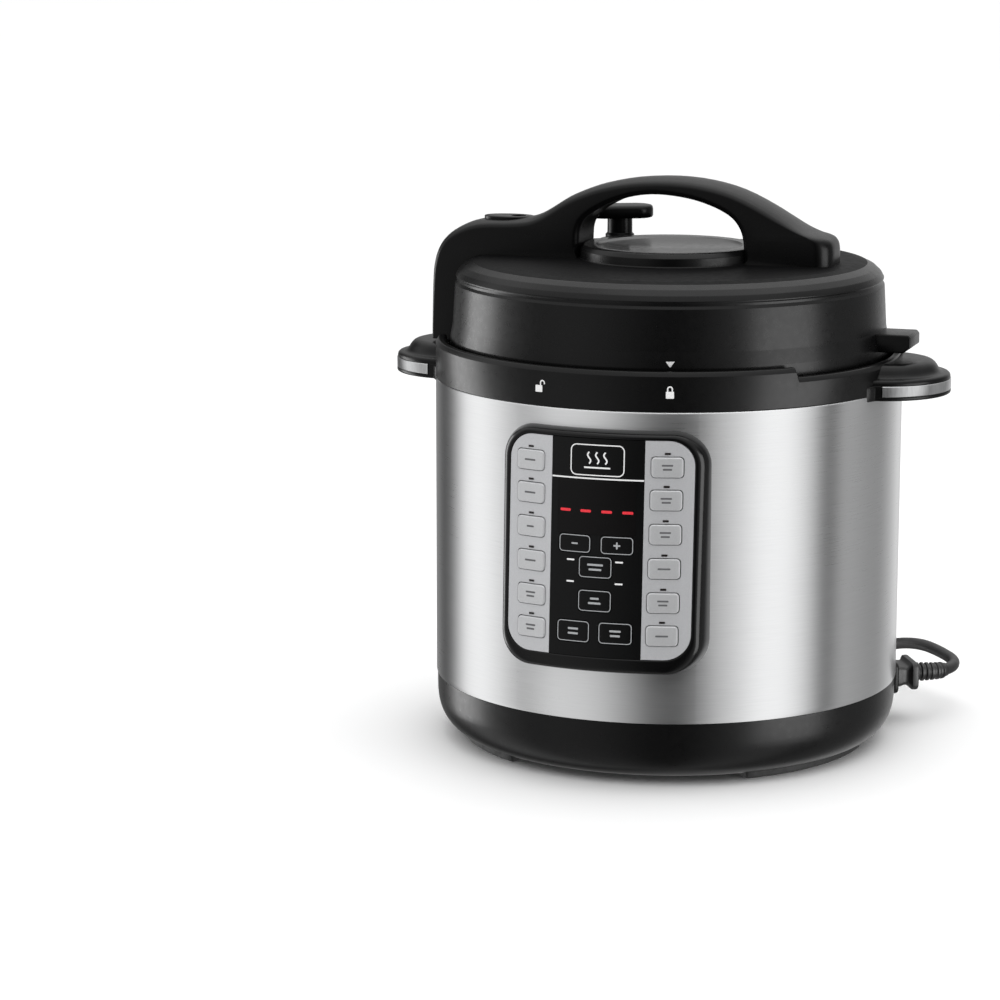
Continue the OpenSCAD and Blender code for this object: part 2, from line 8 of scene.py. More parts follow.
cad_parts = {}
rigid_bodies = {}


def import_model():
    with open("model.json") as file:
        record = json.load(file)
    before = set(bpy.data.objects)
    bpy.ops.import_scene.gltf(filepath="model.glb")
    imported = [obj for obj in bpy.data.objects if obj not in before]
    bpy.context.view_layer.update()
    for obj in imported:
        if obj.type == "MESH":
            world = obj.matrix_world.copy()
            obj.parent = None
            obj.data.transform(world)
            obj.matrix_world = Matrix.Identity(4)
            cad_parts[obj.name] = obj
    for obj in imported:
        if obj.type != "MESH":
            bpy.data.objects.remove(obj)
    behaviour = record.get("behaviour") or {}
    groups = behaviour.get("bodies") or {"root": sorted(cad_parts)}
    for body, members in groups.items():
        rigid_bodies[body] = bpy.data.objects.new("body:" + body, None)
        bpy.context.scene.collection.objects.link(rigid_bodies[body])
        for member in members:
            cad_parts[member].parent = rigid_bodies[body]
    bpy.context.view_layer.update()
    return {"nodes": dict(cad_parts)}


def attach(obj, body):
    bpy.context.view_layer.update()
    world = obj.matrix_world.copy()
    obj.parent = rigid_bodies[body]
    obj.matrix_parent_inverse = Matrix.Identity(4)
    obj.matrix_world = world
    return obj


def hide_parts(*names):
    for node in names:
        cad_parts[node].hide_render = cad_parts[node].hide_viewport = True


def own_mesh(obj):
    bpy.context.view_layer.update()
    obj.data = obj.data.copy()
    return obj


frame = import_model()
N = frame["nodes"]
MM = 0.001
DECK = 3.5  # the drawing's zero lies this far above the table
scene = bpy.context.scene
rad, sin, cos, pi = math.radians, math.sin, math.cos, math.pi

# ------------------------------------------------------------------ camera
cam_d = bpy.data.cameras.new("camera")
cam = bpy.data.objects.new("camera", cam_d)
scene.collection.objects.link(cam)
cam_d.sensor_width = 36.0
cam_d.lens = 119.72
yaw, pitch = -0.3214, 0.1919
fw = Vector((sin(yaw) * cos(pitch), cos(yaw) * cos(pitch), -sin(pitch)))
cam.location = (0.5107, -1.8435, 0.5084)
cam.rotation_mode = "QUATERNION"
cam.rotation_quaternion = fw.to_track_quat("-Z", "Y")
cam_d.clip_start, cam_d.clip_end = 0.05, 60
scene.camera = cam


# ------------------------------------------------------------------ materials
def new_mat(name):
    m = bpy.data.materials.new(name)
    m.use_nodes = True
    nt = m.node_tree
    b = next(n for n in nt.nodes if n.type == "BSDF_PRINCIPLED")
    return m, nt, b


def tex_coord(nt):
    return nt.nodes.new("ShaderNodeTexCoord").outputs["Object"]


def noise(nt, vec, scale, detail=3.0, rough=0.55, mapping=None):
    if mapping is not None:
        mp = nt.nodes.new("ShaderNodeMapping")
        mp.inputs["Scale"].default_value = mapping
        nt.links.new(vec, mp.inputs["Vector"])
        vec = mp.outputs["Vector"]
    n = nt.nodes.new("ShaderNodeTexNoise")
    n.inputs["Scale"].default_value = scale
    n.inputs["Detail"].default_value = detail
    n.inputs["Roughness"].default_value = rough
    nt.links.new(vec, n.inputs["Vector"])
    return n.outputs["Fac"]


def remap(nt, fac, lo, hi, a=0.3, b=0.7):
    r = nt.nodes.new("ShaderNodeMapRange")
    r.inputs["From Min"].default_value = a
    r.inputs["From Max"].default_value = b
    r.inputs["To Min"].default_value = lo
    r.inputs["To Max"].default_value = hi
    nt.links.new(fac, r.inputs["Value"])
    return r.outputs["Result"]


def ramp2(nt, fac, c0, c1, p0=0.3, p1=0.7):
    r = nt.nodes.new("ShaderNodeValToRGB")
    r.color_ramp.elements[0].position = p0
    r.color_ramp.elements[1].position = p1
    r.color_ramp.elements[0].color = (*c0, 1)
    r.color_ramp.elements[1].color = (*c1, 1)
    nt.links.new(fac, r.inputs["Fac"])
    return r.outputs["Color"]


def bump(nt, b, fac, strength, dist):
    bp = nt.nodes.new("ShaderNodeBump")
    bp.inputs["Strength"].default_value = strength
    bp.inputs["Distance"].default_value = dist
    nt.links.new(fac, bp.inputs["Height"])
    nt.links.new(bp.outputs["Normal"], b.inputs["Normal"])


def plastic(name, c, rough, grain=1400.0, grain_d=0.00004, spread=0.06, strength=0.5, spec=0.5, tint=1.35):
    """moulded plastic: fine grain, slow change of sheen, faint wear of tone"""
    m, nt, b = new_mat(name)
    v = tex_coord(nt)
    g = noise(nt, v, grain, 2.0)
    slow = noise(nt, v, 22.0, 4.0)
    fine = noise(nt, v, 260.0, 3.0)
    col = ramp2(nt, slow, c, tuple(min(1, x * tint) for x in c), 0.32, 0.72)
    nt.links.new(col, b.inputs["Base Color"])
    nt.links.new(remap(nt, fine, rough - spread, rough + spread), b.inputs["Roughness"])
    b.inputs["Specular IOR Level"].default_value = spec
    bump(nt, b, g, strength, grain_d)
    return m


def steel(name, c, rough, aniso=0.0, brush=(1, 1, 1), brush_s=900.0, depth=0.00002, rot=0.0, spread=0.05, tangent_z=False, tint=0.9, strength=0.35):
    """metal with drawn or spun lines: lines run along the axis with the small scale"""
    m, nt, b = new_mat(name)
    v = tex_coord(nt)
    line = noise(nt, v, brush_s, 4.0, 0.6, brush)
    broad = noise(nt, v, 9.0, 3.0)
    b.inputs["Metallic"].default_value = 1.0
    col = ramp2(nt, line, tuple(x * tint for x in c), c, 0.35, 0.65)
    nt.links.new(col, b.inputs["Base Color"])
    ro = nt.nodes.new("ShaderNodeMath")
    ro.operation = "ADD"
    nt.links.new(remap(nt, line, rough - spread, rough + spread), ro.inputs[0])
    nt.links.new(remap(nt, broad, -0.015, 0.015), ro.inputs[1])
    nt.links.new(ro.outputs[0], b.inputs["Roughness"])
    if aniso:
        b.inputs["Anisotropic"].default_value = aniso
        b.inputs["Anisotropic Rotation"].default_value = rot
        if tangent_z:
            t = nt.nodes.new("ShaderNodeTangent")
            t.direction_type = "RADIAL"
            t.axis = "Z"
            nt.links.new(t.outputs["Tangent"], b.inputs["Tangent"])
    bump(nt, b, line, strength, depth)
    return m


M = {}
M["black"] = plastic("black_moulding", (0.0020, 0.0020, 0.0021), 0.30, grain=1500, grain_d=0.00002, spread=0.03, spec=0.20, tint=1.3)
M["black_lid"] = plastic("black_moulding_lid", (0.0020, 0.0020, 0.0021), 0.29, grain=1700, grain_d=0.00002, spread=0.03, spec=0.20, tint=1.3)
M["lid_top"] = plastic("black_moulding_top", (0.0028, 0.0028, 0.0029), 0.50, grain=1700, grain_d=0.00003, spread=0.04, spec=0.05, tint=1.3)
M["lid_disc"] = plastic("black_moulding_disc", (0.0030, 0.0030, 0.0031), 0.22, grain=1500, grain_d=0.00002, spread=0.04, spec=0.75, tint=1.3)
M["black_handle"] = plastic("black_moulding_handle", (0.0016, 0.0016, 0.0017), 0.30, grain=1500, grain_d=0.00002, spread=0.03, spec=0.15, tint=1.3)
M["gloss"] = plastic("black_gloss", (0.0016, 0.0016, 0.0017), 0.18, grain=500, grain_d=0.000006, spread=0.03, strength=0.25, spec=0.22)
M["fascia"] = plastic("black_film", (0.0018, 0.0019, 0.0020), 0.22, grain=900, grain_d=0.000004, spread=0.03, strength=0.2, spec=0.16)
M["rubber"] = plastic("foot_rubber", (0.008, 0.008, 0.008), 0.72, grain=900, grain_d=0.00008, strength=0.7)
M["cord"] = plastic("cord_rubber", (0.0070, 0.0066, 0.0070), 0.45, grain=800, grain_d=0.00005, strength=0.5)
M["connector"] = plastic("connector_rubber", (0.0045, 0.0043, 0.0045), 0.42, grain=700, grain_d=0.00005)
M["sleeve"] = steel("sleeve_brushed", (0.80, 0.805, 0.81), 0.30, aniso=0.8, brush=(0.02, 0.02, 1.0), brush_s=2600.0, depth=0.000006, rot=0.25, tangent_z=True, spread=0.025, tint=0.95, strength=0.15)
M["trim"] = steel("trim_brushed", (0.62, 0.625, 0.63), 0.34, aniso=0.5, brush=(1.0, 1.0, 0.06), brush_s=2600.0, depth=0.000010, rot=0.25, tangent_z=True, tint=0.8)
M["pot"] = steel("pot_spun", (0.62, 0.62, 0.63), 0.24, brush=(0.03, 0.03, 1.0), brush_s=1800.0, depth=0.000012, tint=0.93)
M["plate"] = steel("plate_satin", (0.60, 0.60, 0.61), 0.30, brush=(1, 1, 1), brush_s=600.0, depth=0.000010, tint=0.93)
M["cast"] = steel("cast_metal", (0.52, 0.52, 0.53), 0.42, brush=(1, 1, 1), brush_s=350.0, depth=0.00006, tint=0.85)
M["screw"] = steel("screw_metal", (0.55, 0.55, 0.56), 0.28, brush=(1, 1, 1), brush_s=900.0, depth=0.00001, tint=0.9)
M["brass"] = steel("prong_brass", (0.60, 0.45, 0.20), 0.28, brush=(1, 1, 0.1), brush_s=900.0, depth=0.00001, tint=0.9)
M["silver"] = steel("silver_paint", (0.60, 0.605, 0.62), 0.46, brush=(1, 1, 1), brush_s=2200.0, depth=0.000012, spread=0.06, tint=0.88, strength=0.3)
M["silver"].node_tree.nodes["Principled BSDF"].inputs["Metallic"].default_value = 0.5
M["key"] = steel("silver_key", (0.60, 0.605, 0.615), 0.40, brush=(1, 1, 1), brush_s=2200.0, depth=0.000010, spread=0.05, tint=0.88, strength=0.3)
M["key"].node_tree.nodes["Principled BSDF"].inputs["Metallic"].default_value = 0.5
M["print_soft"] = plastic("soft_white_print", (0.36, 0.37, 0.38), 0.5, grain=1200, grain_d=0.00001, tint=1.0)
M["white"] = plastic("white_print", (0.80, 0.80, 0.80), 0.5, grain=1200, grain_d=0.00001, tint=1.0)
M["grey_print"] = plastic("grey_print", (0.10, 0.10, 0.105), 0.5, grain=1200, grain_d=0.00001, tint=1.1)
M["lamp_off"] = plastic("lamp_dark", (0.012, 0.009, 0.009), 0.2, grain=900, grain_d=0.000005)
M["board"] = plastic("board_green", (0.010, 0.075, 0.028), 0.35, grain=700, grain_d=0.00004)
M["wire"] = plastic("wire_red", (0.32, 0.018, 0.015), 0.38, grain=900, grain_d=0.00002)
M["silicone"] = plastic("silicone_white", (0.62, 0.62, 0.59), 0.42, grain=600, grain_d=0.00004, tint=1.1)
M["silicone"].node_tree.nodes["Principled BSDF"].inputs["Subsurface Weight"].default_value = 0.15
M["silicone"].node_tree.nodes["Principled BSDF"].inputs["Subsurface Scale"].default_value = 0.002
M["silicone_red"] = plastic("silicone_red", (0.45, 0.07, 0.04), 0.45, grain=700, grain_d=0.00003)
M["nonstick"] = plastic("pot_nonstick", (0.014, 0.014, 0.0145), 0.34, grain=420, grain_d=0.00006, tint=2.2)

M["lens"] = plastic("display_lens", (0.0020, 0.0017, 0.0018), 0.20, grain=700, grain_d=0.000003, spread=0.02, strength=0.2, spec=0.14)
m, nt, b = new_mat("display_digit")
v = tex_coord(nt)
nt.links.new(ramp2(nt, noise(nt, v, 1200, 2), (0.42, 0.012, 0.02), (0.62, 0.02, 0.03)), b.inputs["Base Color"])
b.inputs["Roughness"].default_value = 0.4
b.inputs["Emission Color"].default_value = (0.75, 0.01, 0.03, 1)
b.inputs["Emission Strength"].default_value = 0.35
M["digit"] = m

m, nt, b = new_mat("clear_cup")
v = tex_coord(nt)
nt.links.new(ramp2(nt, noise(nt, v, 40, 3), (0.86, 0.89, 0.90), (0.93, 0.95, 0.96)), b.inputs["Base Color"])
nt.links.new(remap(nt, noise(nt, v, 400, 3), 0.06, 0.16), b.inputs["Roughness"])
b.inputs["Transmission Weight"].default_value = 0.85
b.inputs["IOR"].default_value = 1.49
M["clear"] = m


# ------------------------------------------------------------------ mesh helpers (millimetres in)
def finish_obj(name, me, mat, body, nodes=(), sharp=38.0, mats=None):
    for p in me.polygons:
        p.use_smooth = True
    me.set_sharp_from_angle(angle=rad(sharp))
    o = bpy.data.objects.new(name, me)
    scene.collection.objects.link(o)
    for mm in (mats or [mat]):
        me.materials.append(mm)
    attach(o, body)
    if nodes:
        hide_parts(*nodes)
    return o


def mesh_from(name, verts, faces, fix=True, face_mats=None):
    me = bpy.data.meshes.new(name)
    me.from_pydata([(v[0] * MM, v[1] * MM, (v[2] + DECK) * MM) for v in verts], [], faces)
    if face_mats:
        me.polygons.foreach_set("material_index", face_mats)
    if fix:
        bm = bmesh.new()
        bm.from_mesh(me)
        bmesh.ops.remove_doubles(bm, verts=bm.verts, dist=1e-7)
        bmesh.ops.recalc_face_normals(bm, faces=bm.faces)
        bm.to_mesh(me)
        bm.free()
    me.validate()
    return me


def grid_faces(nr, n, closed=True, loop=False, off=0):
    f = []
    rr = range(nr if loop else nr - 1)
    for i in rr:
        i2 = (i + 1) % nr
        for j in range(n if closed else n - 1):
            k = (j + 1) % n
            f.append((off + i * n + j, off + i * n + k, off + i2 * n + k, off + i2 * n + j))
    return f


def loft(name, rings, mat, body, nodes=(), closed=True, caps=(True, True), loop=False, sharp=38.0, extra=()):
    """joins rings of the same number of points; extra are more (rings, caps) groups for the same mesh"""
    verts, faces = [], []
    for rs, cp, lp in [(rings, caps, loop), *extra]:
        off, n = len(verts), len(rs[0])
        for r in rs:
            verts += [tuple(p) for p in r]
        faces += grid_faces(len(rs), n, closed, lp, off)
        if not lp:
            if cp[0]:
                faces.append(tuple(off + j for j in range(n))[::-1])
            if cp[1]:
                faces.append(tuple(off + (len(rs) - 1) * n + j for j in range(n)))
    return finish_obj(name, mesh_from(name, verts, faces), mat, body, nodes, sharp)


def fillet(poly, seg=5, closed=True):
    """poly: [(x, y, radius)]; gives the outline with round corners"""
    out, n = [], len(poly)
    for i, (x, y, r) in enumerate(poly):
        if r <= 0 or (not closed and i in (0, n - 1)):
            out.append((x, y))
            continue
        p = Vector((x, y))
        a = Vector(poly[i - 1][:2]) - p
        c = Vector(poly[(i + 1) % n][:2]) - p
        la, lc = a.length, c.length
        a.normalize()
        c.normalize()
        ang = a.angle(c)
        if ang > pi - 0.02:
            out.append((x, y))
            continue
        t = min(r / math.tan(ang / 2), la * 0.49, lc * 0.49)
        rr_ = t * math.tan(ang / 2)
        mid = p + (a + c).normalized() * (rr_ / sin(ang / 2))
        s0, s1 = p + a * t - mid, p + c * t - mid
        a0 = math.atan2(s0.y, s0.x)
        d = math.atan2(s1.y, s1.x) - a0
        d = (d + pi) % (2 * pi) - pi
        for k in range(seg + 1):
            q = a0 + d * k / seg
            out.append((mid.x + rr_ * cos(q), mid.y + rr_ * sin(q)))
    return out


def smooth_line(pts, n=6, closed=False):
    """Catmull-Rom through the points"""
    P = [Vector(p) for p in pts]
    out, m = [], len(P)
    for i in range(m if closed else m - 1):
        p0 = P[i - 1] if (i or closed) else P[0] * 2 - P[1]
        p1, p2 = P[i], P[(i + 1) % m]
        p3 = P[(i + 2) % m] if (i + 2 < m or closed) else P[-1] * 2 - P[-2]
        d1 = max((p1 - p0).length, 1e-6) ** 0.5
        d2 = max((p2 - p1).length, 1e-6) ** 0.5
        d3 = max((p3 - p2).length, 1e-6) ** 0.5
        m1 = (p2 - p1) + d2 * ((p1 - p0) / d1 - (p2 - p0) / (d1 + d2)) * 1.0
        m2 = (p2 - p1) + d2 * ((p3 - p2) / d3 - (p3 - p1) / (d2 + d3)) * 1.0
        for k in range(n):
            t = k / n
            out.append(p1 * (2 * t ** 3 - 3 * t ** 2 + 1) + m1 * (t ** 3 - 2 * t ** 2 + t) + p2 * (-2 * t ** 3 + 3 * t ** 2) + m2 * (t ** 3 - t ** 2))
    if not closed:
        out.append(P[-1])
    return out


def lathe(name, prof, mat, body, nodes=(), n=192, at=(0, 0), closed_prof=True, sharp=32.0, mat2=None, pick2=None, axis=None):
    """prof: [(r, z)] outline turned about the z line through at; points on the axis are allowed"""
    verts, faces, fm = [], [], []
    P = prof
    idx = []
    for (r, z) in P:
        if r < 1e-6:
            idx.append([len(verts)] * n)
            verts.append((at[0], at[1], z))
        else:
            s = len(verts)
            for j in range(n):
                a = 2 * pi * j / n
                verts.append((at[0] + r * cos(a), at[1] + r * sin(a), z))
            idx.append(list(range(s, s + n)))
    m_ = len(P)
    for i in range(m_ if closed_prof else m_ - 1):
        a_, b_ = idx[i], idx[(i + 1) % m_]
        for j in range(n):
            k = (j + 1) % n
            f = [a_[j], a_[k], b_[k], b_[j]]
            g = [q for c, q in enumerate(f) if q not in f[:c]]
            if len(g) > 2:
                faces.append(tuple(g))
                fm.append(1 if pick2 and pick2(P[i], P[(i + 1) % m_]) else 0)
    me = mesh_from(name, verts, faces, face_mats=fm if mat2 else None)
    if axis:
        me.transform(axis)
    return finish_obj(name, me, mat, body, nodes, sharp, mats=[mat, mat2] if mat2 else None)


def rf(z):
    return 149.0 - 0.052 * (z - 64.0)


def on_face(x, z, d=0.0):
    R = rf(z) + d
    return (x, -math.sqrt(max(R * R - x * x, 0)), z)


def rr_loop(hx, z0, z1, r, nh=24, nv=16, nc=10):
    """rounded rectangle in x, z, from the lower left corner's end, counter-clockwise seen from the front"""
    r = min(r, hx - 0.01, (z1 - z0) / 2 - 0.01)
    pts = []

    def line(a, b_, n):
        for k in range(n):
            t = k / n
            pts.append((a[0] + (b_[0] - a[0]) * t, a[1] + (b_[1] - a[1]) * t))

    def arc(cx, cz, a0):
        for k in range(nc):
            a = rad(a0 + 90.0 * k / nc)
            pts.append((cx + r * cos(a), cz + r * sin(a)))
    line((-hx + r, z0), (hx - r, z0), nh)
    arc(hx - r, z0 + r, -90)
    line((hx, z0 + r), (hx, z1 - r), nv)
    arc(hx - r, z1 - r, 0)
    line((hx - r, z1), (-hx + r, z1), nh)
    arc(-hx + r, z1 - r, 90)
    line((-hx, z1 - r), (-hx, z0 + r), nv)
    arc(-hx + r, z0 + r, 180)
    return pts


def carry(node, mat, bevel=0.0, seg=2, angle=35.0):
    """a CAD node that keeps its shape: material, welded edges and a small bevel"""
    o = N[node]
    o.data.materials.clear()
    o.data.materials.append(M[mat])
    w = o.modifiers.new("weld", "WELD")
    w.merge_threshold = 2e-6
    if bevel:
        bv = o.modifiers.new("bevel", "BEVEL")
        bv.width = bevel * MM
        bv.segments = seg
        bv.limit_method = "ANGLE"
        bv.angle_limit = rad(angle)
        bv.harden_normals = True
    return o


# ------------------------------------------------------------------ mains cord
cord_r = 3.5
lead = [(150.8, 83.6, 24), (152.4, 87.1, 24), (153.3, 91.4, 24), (153.5, 96.4, 24.1), (152.4, 103, 24.4),
        (149.4, 109.3, 24.8), (144.6, 115, 25.5), (138, 120.6, 26.6), (128.6, 128, 27.2), (116.6, 137.4, 25.4),
        (104.4, 146.6, 21.4), (92, 154.6, 15.8), (79.4, 160.2, 10), (66.6, 163.2, 5.4), (53, 164.4, 2.3),
        (38, 164.6, 0.5), (20, 164.2, 0.05), (4, 163.6, 0.05), (-14, 163.4, 0.05)]
tail = [(-38, 162.4, 6.9), (-46, 161.8, 6.5), (-54, 161.2, 6.2), (-62, 160.6, 6), (-70, 160.2, 6), (-77, 160, 6), (-84, 160, 6)]


def ease(t):
    t = min(1, max(0, t))
    return t * t * (3 - 2 * t)


coil = []
steps = 3 * 40
for i in range(steps + 1):
    a = -90 - 1080.0 * i / steps
    s = -90 - a
    if s < 360:
        R, z = 38.6 - 7.2 * ease((s - 285) / 75), 0.05
    elif s < 650:
        R, z = 31.4 + 0.5 * ease((s - 575) / 75), 0.05 + 7.05 * ease((s - 575) / 75)
    else:
        R, z = 31.9 + 6.8 * (s - 650) / 430, 7.1
    coil.append((-30 + R * cos(rad(a)), 202 + R * sin(rad(a)), z))
cord_pts = smooth_line(lead, 4)[:-1] + smooth_line([lead[-1]] + coil[:2], 4)[:4] + [Vector(p) for p in coil] + smooth_line([coil[-1]] + tail, 3)[1:]
cu = bpy.data.curves.new("mains_cord", "CURVE")
cu.dimensions = "3D"
cu.bevel_depth = cord_r * MM
cu.bevel_resolution = 6
cu.use_fill_caps = True
sp = cu.splines.new("POLY")
sp.points.add(len(cord_pts) - 1)
for p, q in zip(sp.points, cord_pts):
    p.co = (q[0] * MM, q[1] * MM, (q[2] + DECK) * MM, 1)
sp.use_smooth = True
cord = bpy.data.objects.new("mains_cord", cu)
scene.collection.objects.link(cord)
cu.materials.append(M["cord"])
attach(cord, "base")
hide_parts("cord_lead", "cord_coil")


# along: x out of the inlet, at the inlet's height
def place(p, a=28.0, z=24.0):
    c, s = cos(rad(a)), sin(rad(a))
    return (p[0] * c - p[1] * s, p[0] * s + p[1] * c, p[2] + z)


def rr_yz(x, w, h, r, n=6):
    pts = []
    r = min(r, w / 2 - 0.01, h / 2 - 0.01)
    for sy, sz, a0 in ((1, 1, 0), (-1, 1, 90), (-1, -1, 180), (1, -1, 270)):
        for k in range(n + 1):
            a = rad(a0 + 90 * k / n)
            pts.append((x, sy * (w / 2 - r) + r * cos(a), sz * (h / 2 - r) + r * sin(a)))
    return pts


def boxy(levels, tr):
    """levels: (x, width, height, radius)"""
    return [[tr(p) for p in rr_yz(*lv)] for lv in levels]


def round_x(levels, tr, n=32):
    return [[tr((x, r * cos(2 * pi * k / n), r * sin(2 * pi * k / n))) for k in range(n)] for x, r in levels]


pl = lambda p: place(p)
body_levels = [(138.9, 23.0, 12.0, 2.6), (139.2, 24, 12.8, 3), (141.0, 23.6, 12.6, 3), (143.4, 21.6, 11.6, 3), (145.4, 21.4, 11.4, 3), (146.4, 22.4, 12.2, 3), (147.3, 25.2, 14.8, 3.2), (147.9, 26.6, 16.2, 3.5),
               (150.0, 27, 16.6, 3.6), (151.1, 26.4, 16.0, 3.4), (151.6, 25, 14.8, 3.2), (151.9, 18, 13.6, 5.6), (152.4, 13.4, 12.6, 6), (153.4, 12.4, 12.2, 6), (153.9, 11.6, 11.4, 5.6), (154.1, 9.6, 9.6, 4.7)]
# ribs of the strain relief, straight then round the bend
rib = []
L = 11.5 + 10.05
samples = []
s = 0.0
while s <= L + 1e-6:
    samples.append(s)
    s += 0.35
for s in samples:
    q = (s - 1.2) % 3.1
    on = 1.0 if q < 1.7 else 0.0
    soft = min(1.0, max(0.0, (q / 0.35))) if q < 1.7 else max(0.0, 1 - (q - 1.7) / 0.35)
    R = 4.5 + (5.9 - 0.05 * s - 4.5) * (soft if s < 19.6 else 0) - (0.2 * max(0, s - 19))
    if s <= 11.5:
        c0, dv = (151.6 + s, 0.0), (1.0, 0.0)
    else:
        a = rad(-90 + (s - 11.5) / 16 * 180 / pi)
        c0, dv = (163.1 + 16 * cos(a), 16 + 16 * sin(a)), (-sin(a), cos(a))
    rib.append([place((c0[0] - dv[1] * R * cos(2 * pi * k / 28), c0[1] + dv[0] * R * cos(2 * pi * k / 28), R * sin(2 * pi * k / 28))) for k in range(28)])
connector = loft("power_connector_body", boxy(body_levels, pl), M["connector"], "base", ["power_connector"], extra=[(rib, (True, True), False)])

# plug on the far end
pp = lambda p: (-84 - p[0], 160 - p[1], 7.5 + p[2])
plug_levels = [(15.4, 12, 11, 5), (15.9, 17, 15, 5.5), (17.5, 21, 19, 6), (20.5, 23.6, 21.4, 6.4), (27, 24, 21.8, 6.5), (33, 24, 21.8, 6.5), (36.2, 23.6, 21.4, 6.2), (37, 22.8, 20.6, 5.8), (37.2, 20, 18, 5)]
nose = []
for i in range(31):
    s = i * 0.52
    q = s % 3.1
    R = 4.4 + (0.6 + 0.04 * s) * (1.0 if 0.35 < q < 1.75 else 0.35 if q < 2.1 else 0.0)
    nose.append([pp((s, R * cos(2 * pi * k / 28), -1.5 + R * sin(2 * pi * k / 28))) for k in range(28)])
plug = loft("mains_plug_body", boxy(plug_levels, pp), M["cord"], "base", ["mains_plug"], extra=[(nose, (True, True), False)])
blades = []
for y in (-6.35, 6.35):
    blades.append(([[pp((x, y + yy * 0.75 * s_, 1.5 + zz * 3.1 * s_)) for yy, zz in ((-1, -1), (1, -1), (1, 1), (-1, 1))] for x, s_ in ((36.5, 1), (53.6, 1), (54.6, 0.72))], (True, True), False))
pin = [[pp((x, r * cos(2 * pi * k / 24), -5 + r * sin(2 * pi * k / 24))) for k in range(24)] for x, r in ((36.5, 2.35), (54, 2.35), (56, 1.9), (56.8, 1.0))]
prongs = loft("mains_plug_prongs", pin, M["brass"], "base", ["mains_plug"], extra=blades)

# tie round the coil
tie = []
sec = [(27.2, -3.2), (27.2, 6.1), (30.6, 10.6), (38.6, 10.8), (42.0, 6.9), (42.2, -3.2)]
sec = fillet([(x, z, 2.2) for x, z in sec], 5)
for w_, off_ in ((-3.4, -0.1), (-3.2, 0.25), (3.2, 0.25), (3.4, -0.1), (3.2, -0.7), (-3.2, -0.7)):
    ring = []
    cx, cz = 35.0, 3.5
    for (r_, z_) in sec:
        d_ = Vector((r_ - cx, z_ - cz))
        k_ = 1 + off_ / max(d_.length, 1)
        ring.append((-30 + w_, 202 + cx + d_.x * k_, max(-3.48, cz + d_.y * k_)))
    tie.append(ring)
cord_tie = loft("cord_tie", tie, M["rubber"], "base", loop=True)

# inlet rim
rim_levels = [(134.5, 31.6, 18.6, 4), (134.8, 32, 19, 4), (137.4, 32, 19, 4), (138.1, 31.4, 18.4, 3.8), (138.5, 30.0, 17.2, 3.2), (138.5, 25.4, 17.0, 2.6), (138.2, 23.4, 14.8, 2.4), (135.4, 23.0, 14.5, 2.2)]
loft("mains_inlet_rim", boxy(rim_levels, pl), M["black"], "base", ["mains_inlet"], caps=(True, True))

# ------------------------------------------------------------------ body
# steel sleeve with the window behind the panel
angs = sorted(set([round(i * 1.5, 4) for i in range(240)] + [270 - 22.65, 270 + 22.65]))
zs = [33.8, 34.05, 34.6, 37, 60, 71, 74, 90, 110, 130, 150, 170, 188, 191, 200, 206.6, 207.4, 208.0]
verts, faces = [], []
for z in zs:
    R = 135.0 - (0.45 if z == 33.8 else 0.12 if z == 34.05 else 0.0) - (0.35 if z == 208.0 else 0.08 if z == 207.4 else 0.0)
    for a in angs:
        verts.append((R * cos(rad(a)), R * sin(rad(a)), z))
na = len(angs)
for i in range(len(zs) - 1):
    for j in range(na):
        k = (j + 1) % na
        am = (angs[j] + (angs[k] if k else 360)) / 2
        if 74 <= (zs[i] + zs[i + 1]) / 2 <= 188 and 270 - 22.65 < am < 270 + 22.65:
            continue
        faces.append((i * na + j, i * na + k, (i + 1) * na + k, (i + 1) * na + j))
sleeve = finish_obj("outer_shell_sleeve", mesh_from("outer_shell_sleeve", verts, faces, fix=False), M["sleeve"], "base", ["outer_shell"], 30)
sol = sleeve.modifiers.new("thick", "SOLIDIFY")
sol.thickness = 0.9 * MM
sol.offset = -1
sol.use_even_offset = True

# base pan: shell with cooling slots at the rear
prof = [(134.0, 33.9), (134.35, 33.6), (134.4, 33.0), (134.4, 32.0), (134.4, 27.0), (134.3, 22.0)]
prof += [(p[0], p[1]) for p in smooth_line([(134.3, 22.0), (133.7, 17.0), (131.9, 11.2), (128.8, 6.2), (124.8, 2.6), (121.8, 1.0), (119.6, 0.55)], 3)[1:]] + [(118.6, 0.5), (112.6, 0.5)]
slots = []
for i in range(-5, 6):
    c = 120 + i * 3.2
    slots += [c - 0.48, c + 0.48]
base_a = sorted(set([i * 1.5 for i in range(240) if not 103 <= i * 1.5 <= 137] + [102.6, 137.4] + slots))
na = len(base_a)
verts, faces = [], []
rows = prof
for (r, z) in rows:
    for a in base_a:
        verts.append((r * cos(rad(a)), r * sin(rad(a)), z))
for i in range(len(rows) - 1):
    for j in range(na):
        k = (j + 1) % na
        am = (base_a[j] + (base_a[k] if k else 360 + base_a[0])) / 2
        zm = (rows[i][1] + rows[i + 1][1]) / 2
        if 22.0 < zm < 32.0 and any(abs(am - (120 + q * 3.2)) < 0.4 for q in range(-5, 6)):
            continue
        faces.append((i * na + j, (i + 1) * na + j, (i + 1) * na + k, i * na + k))
pan = finish_obj("base_pan_shell", mesh_from("base_pan_shell", verts, faces, fix=False), M["black"], "base", ["base_pan"], 40)
sol = pan.modifiers.new("thick", "SOLIDIFY")
sol.thickness = 2.0 * MM
sol.offset = -1
lathe("base_pan_floor", fillet([(92, 6, .3), (100.2, 6, .3), (100.2, 0.5, .3), (113, 0.5, .3), (113, 8.5, .3), (92, 8.5, .3)], 2), M["black"], "base", ["base_pan"])

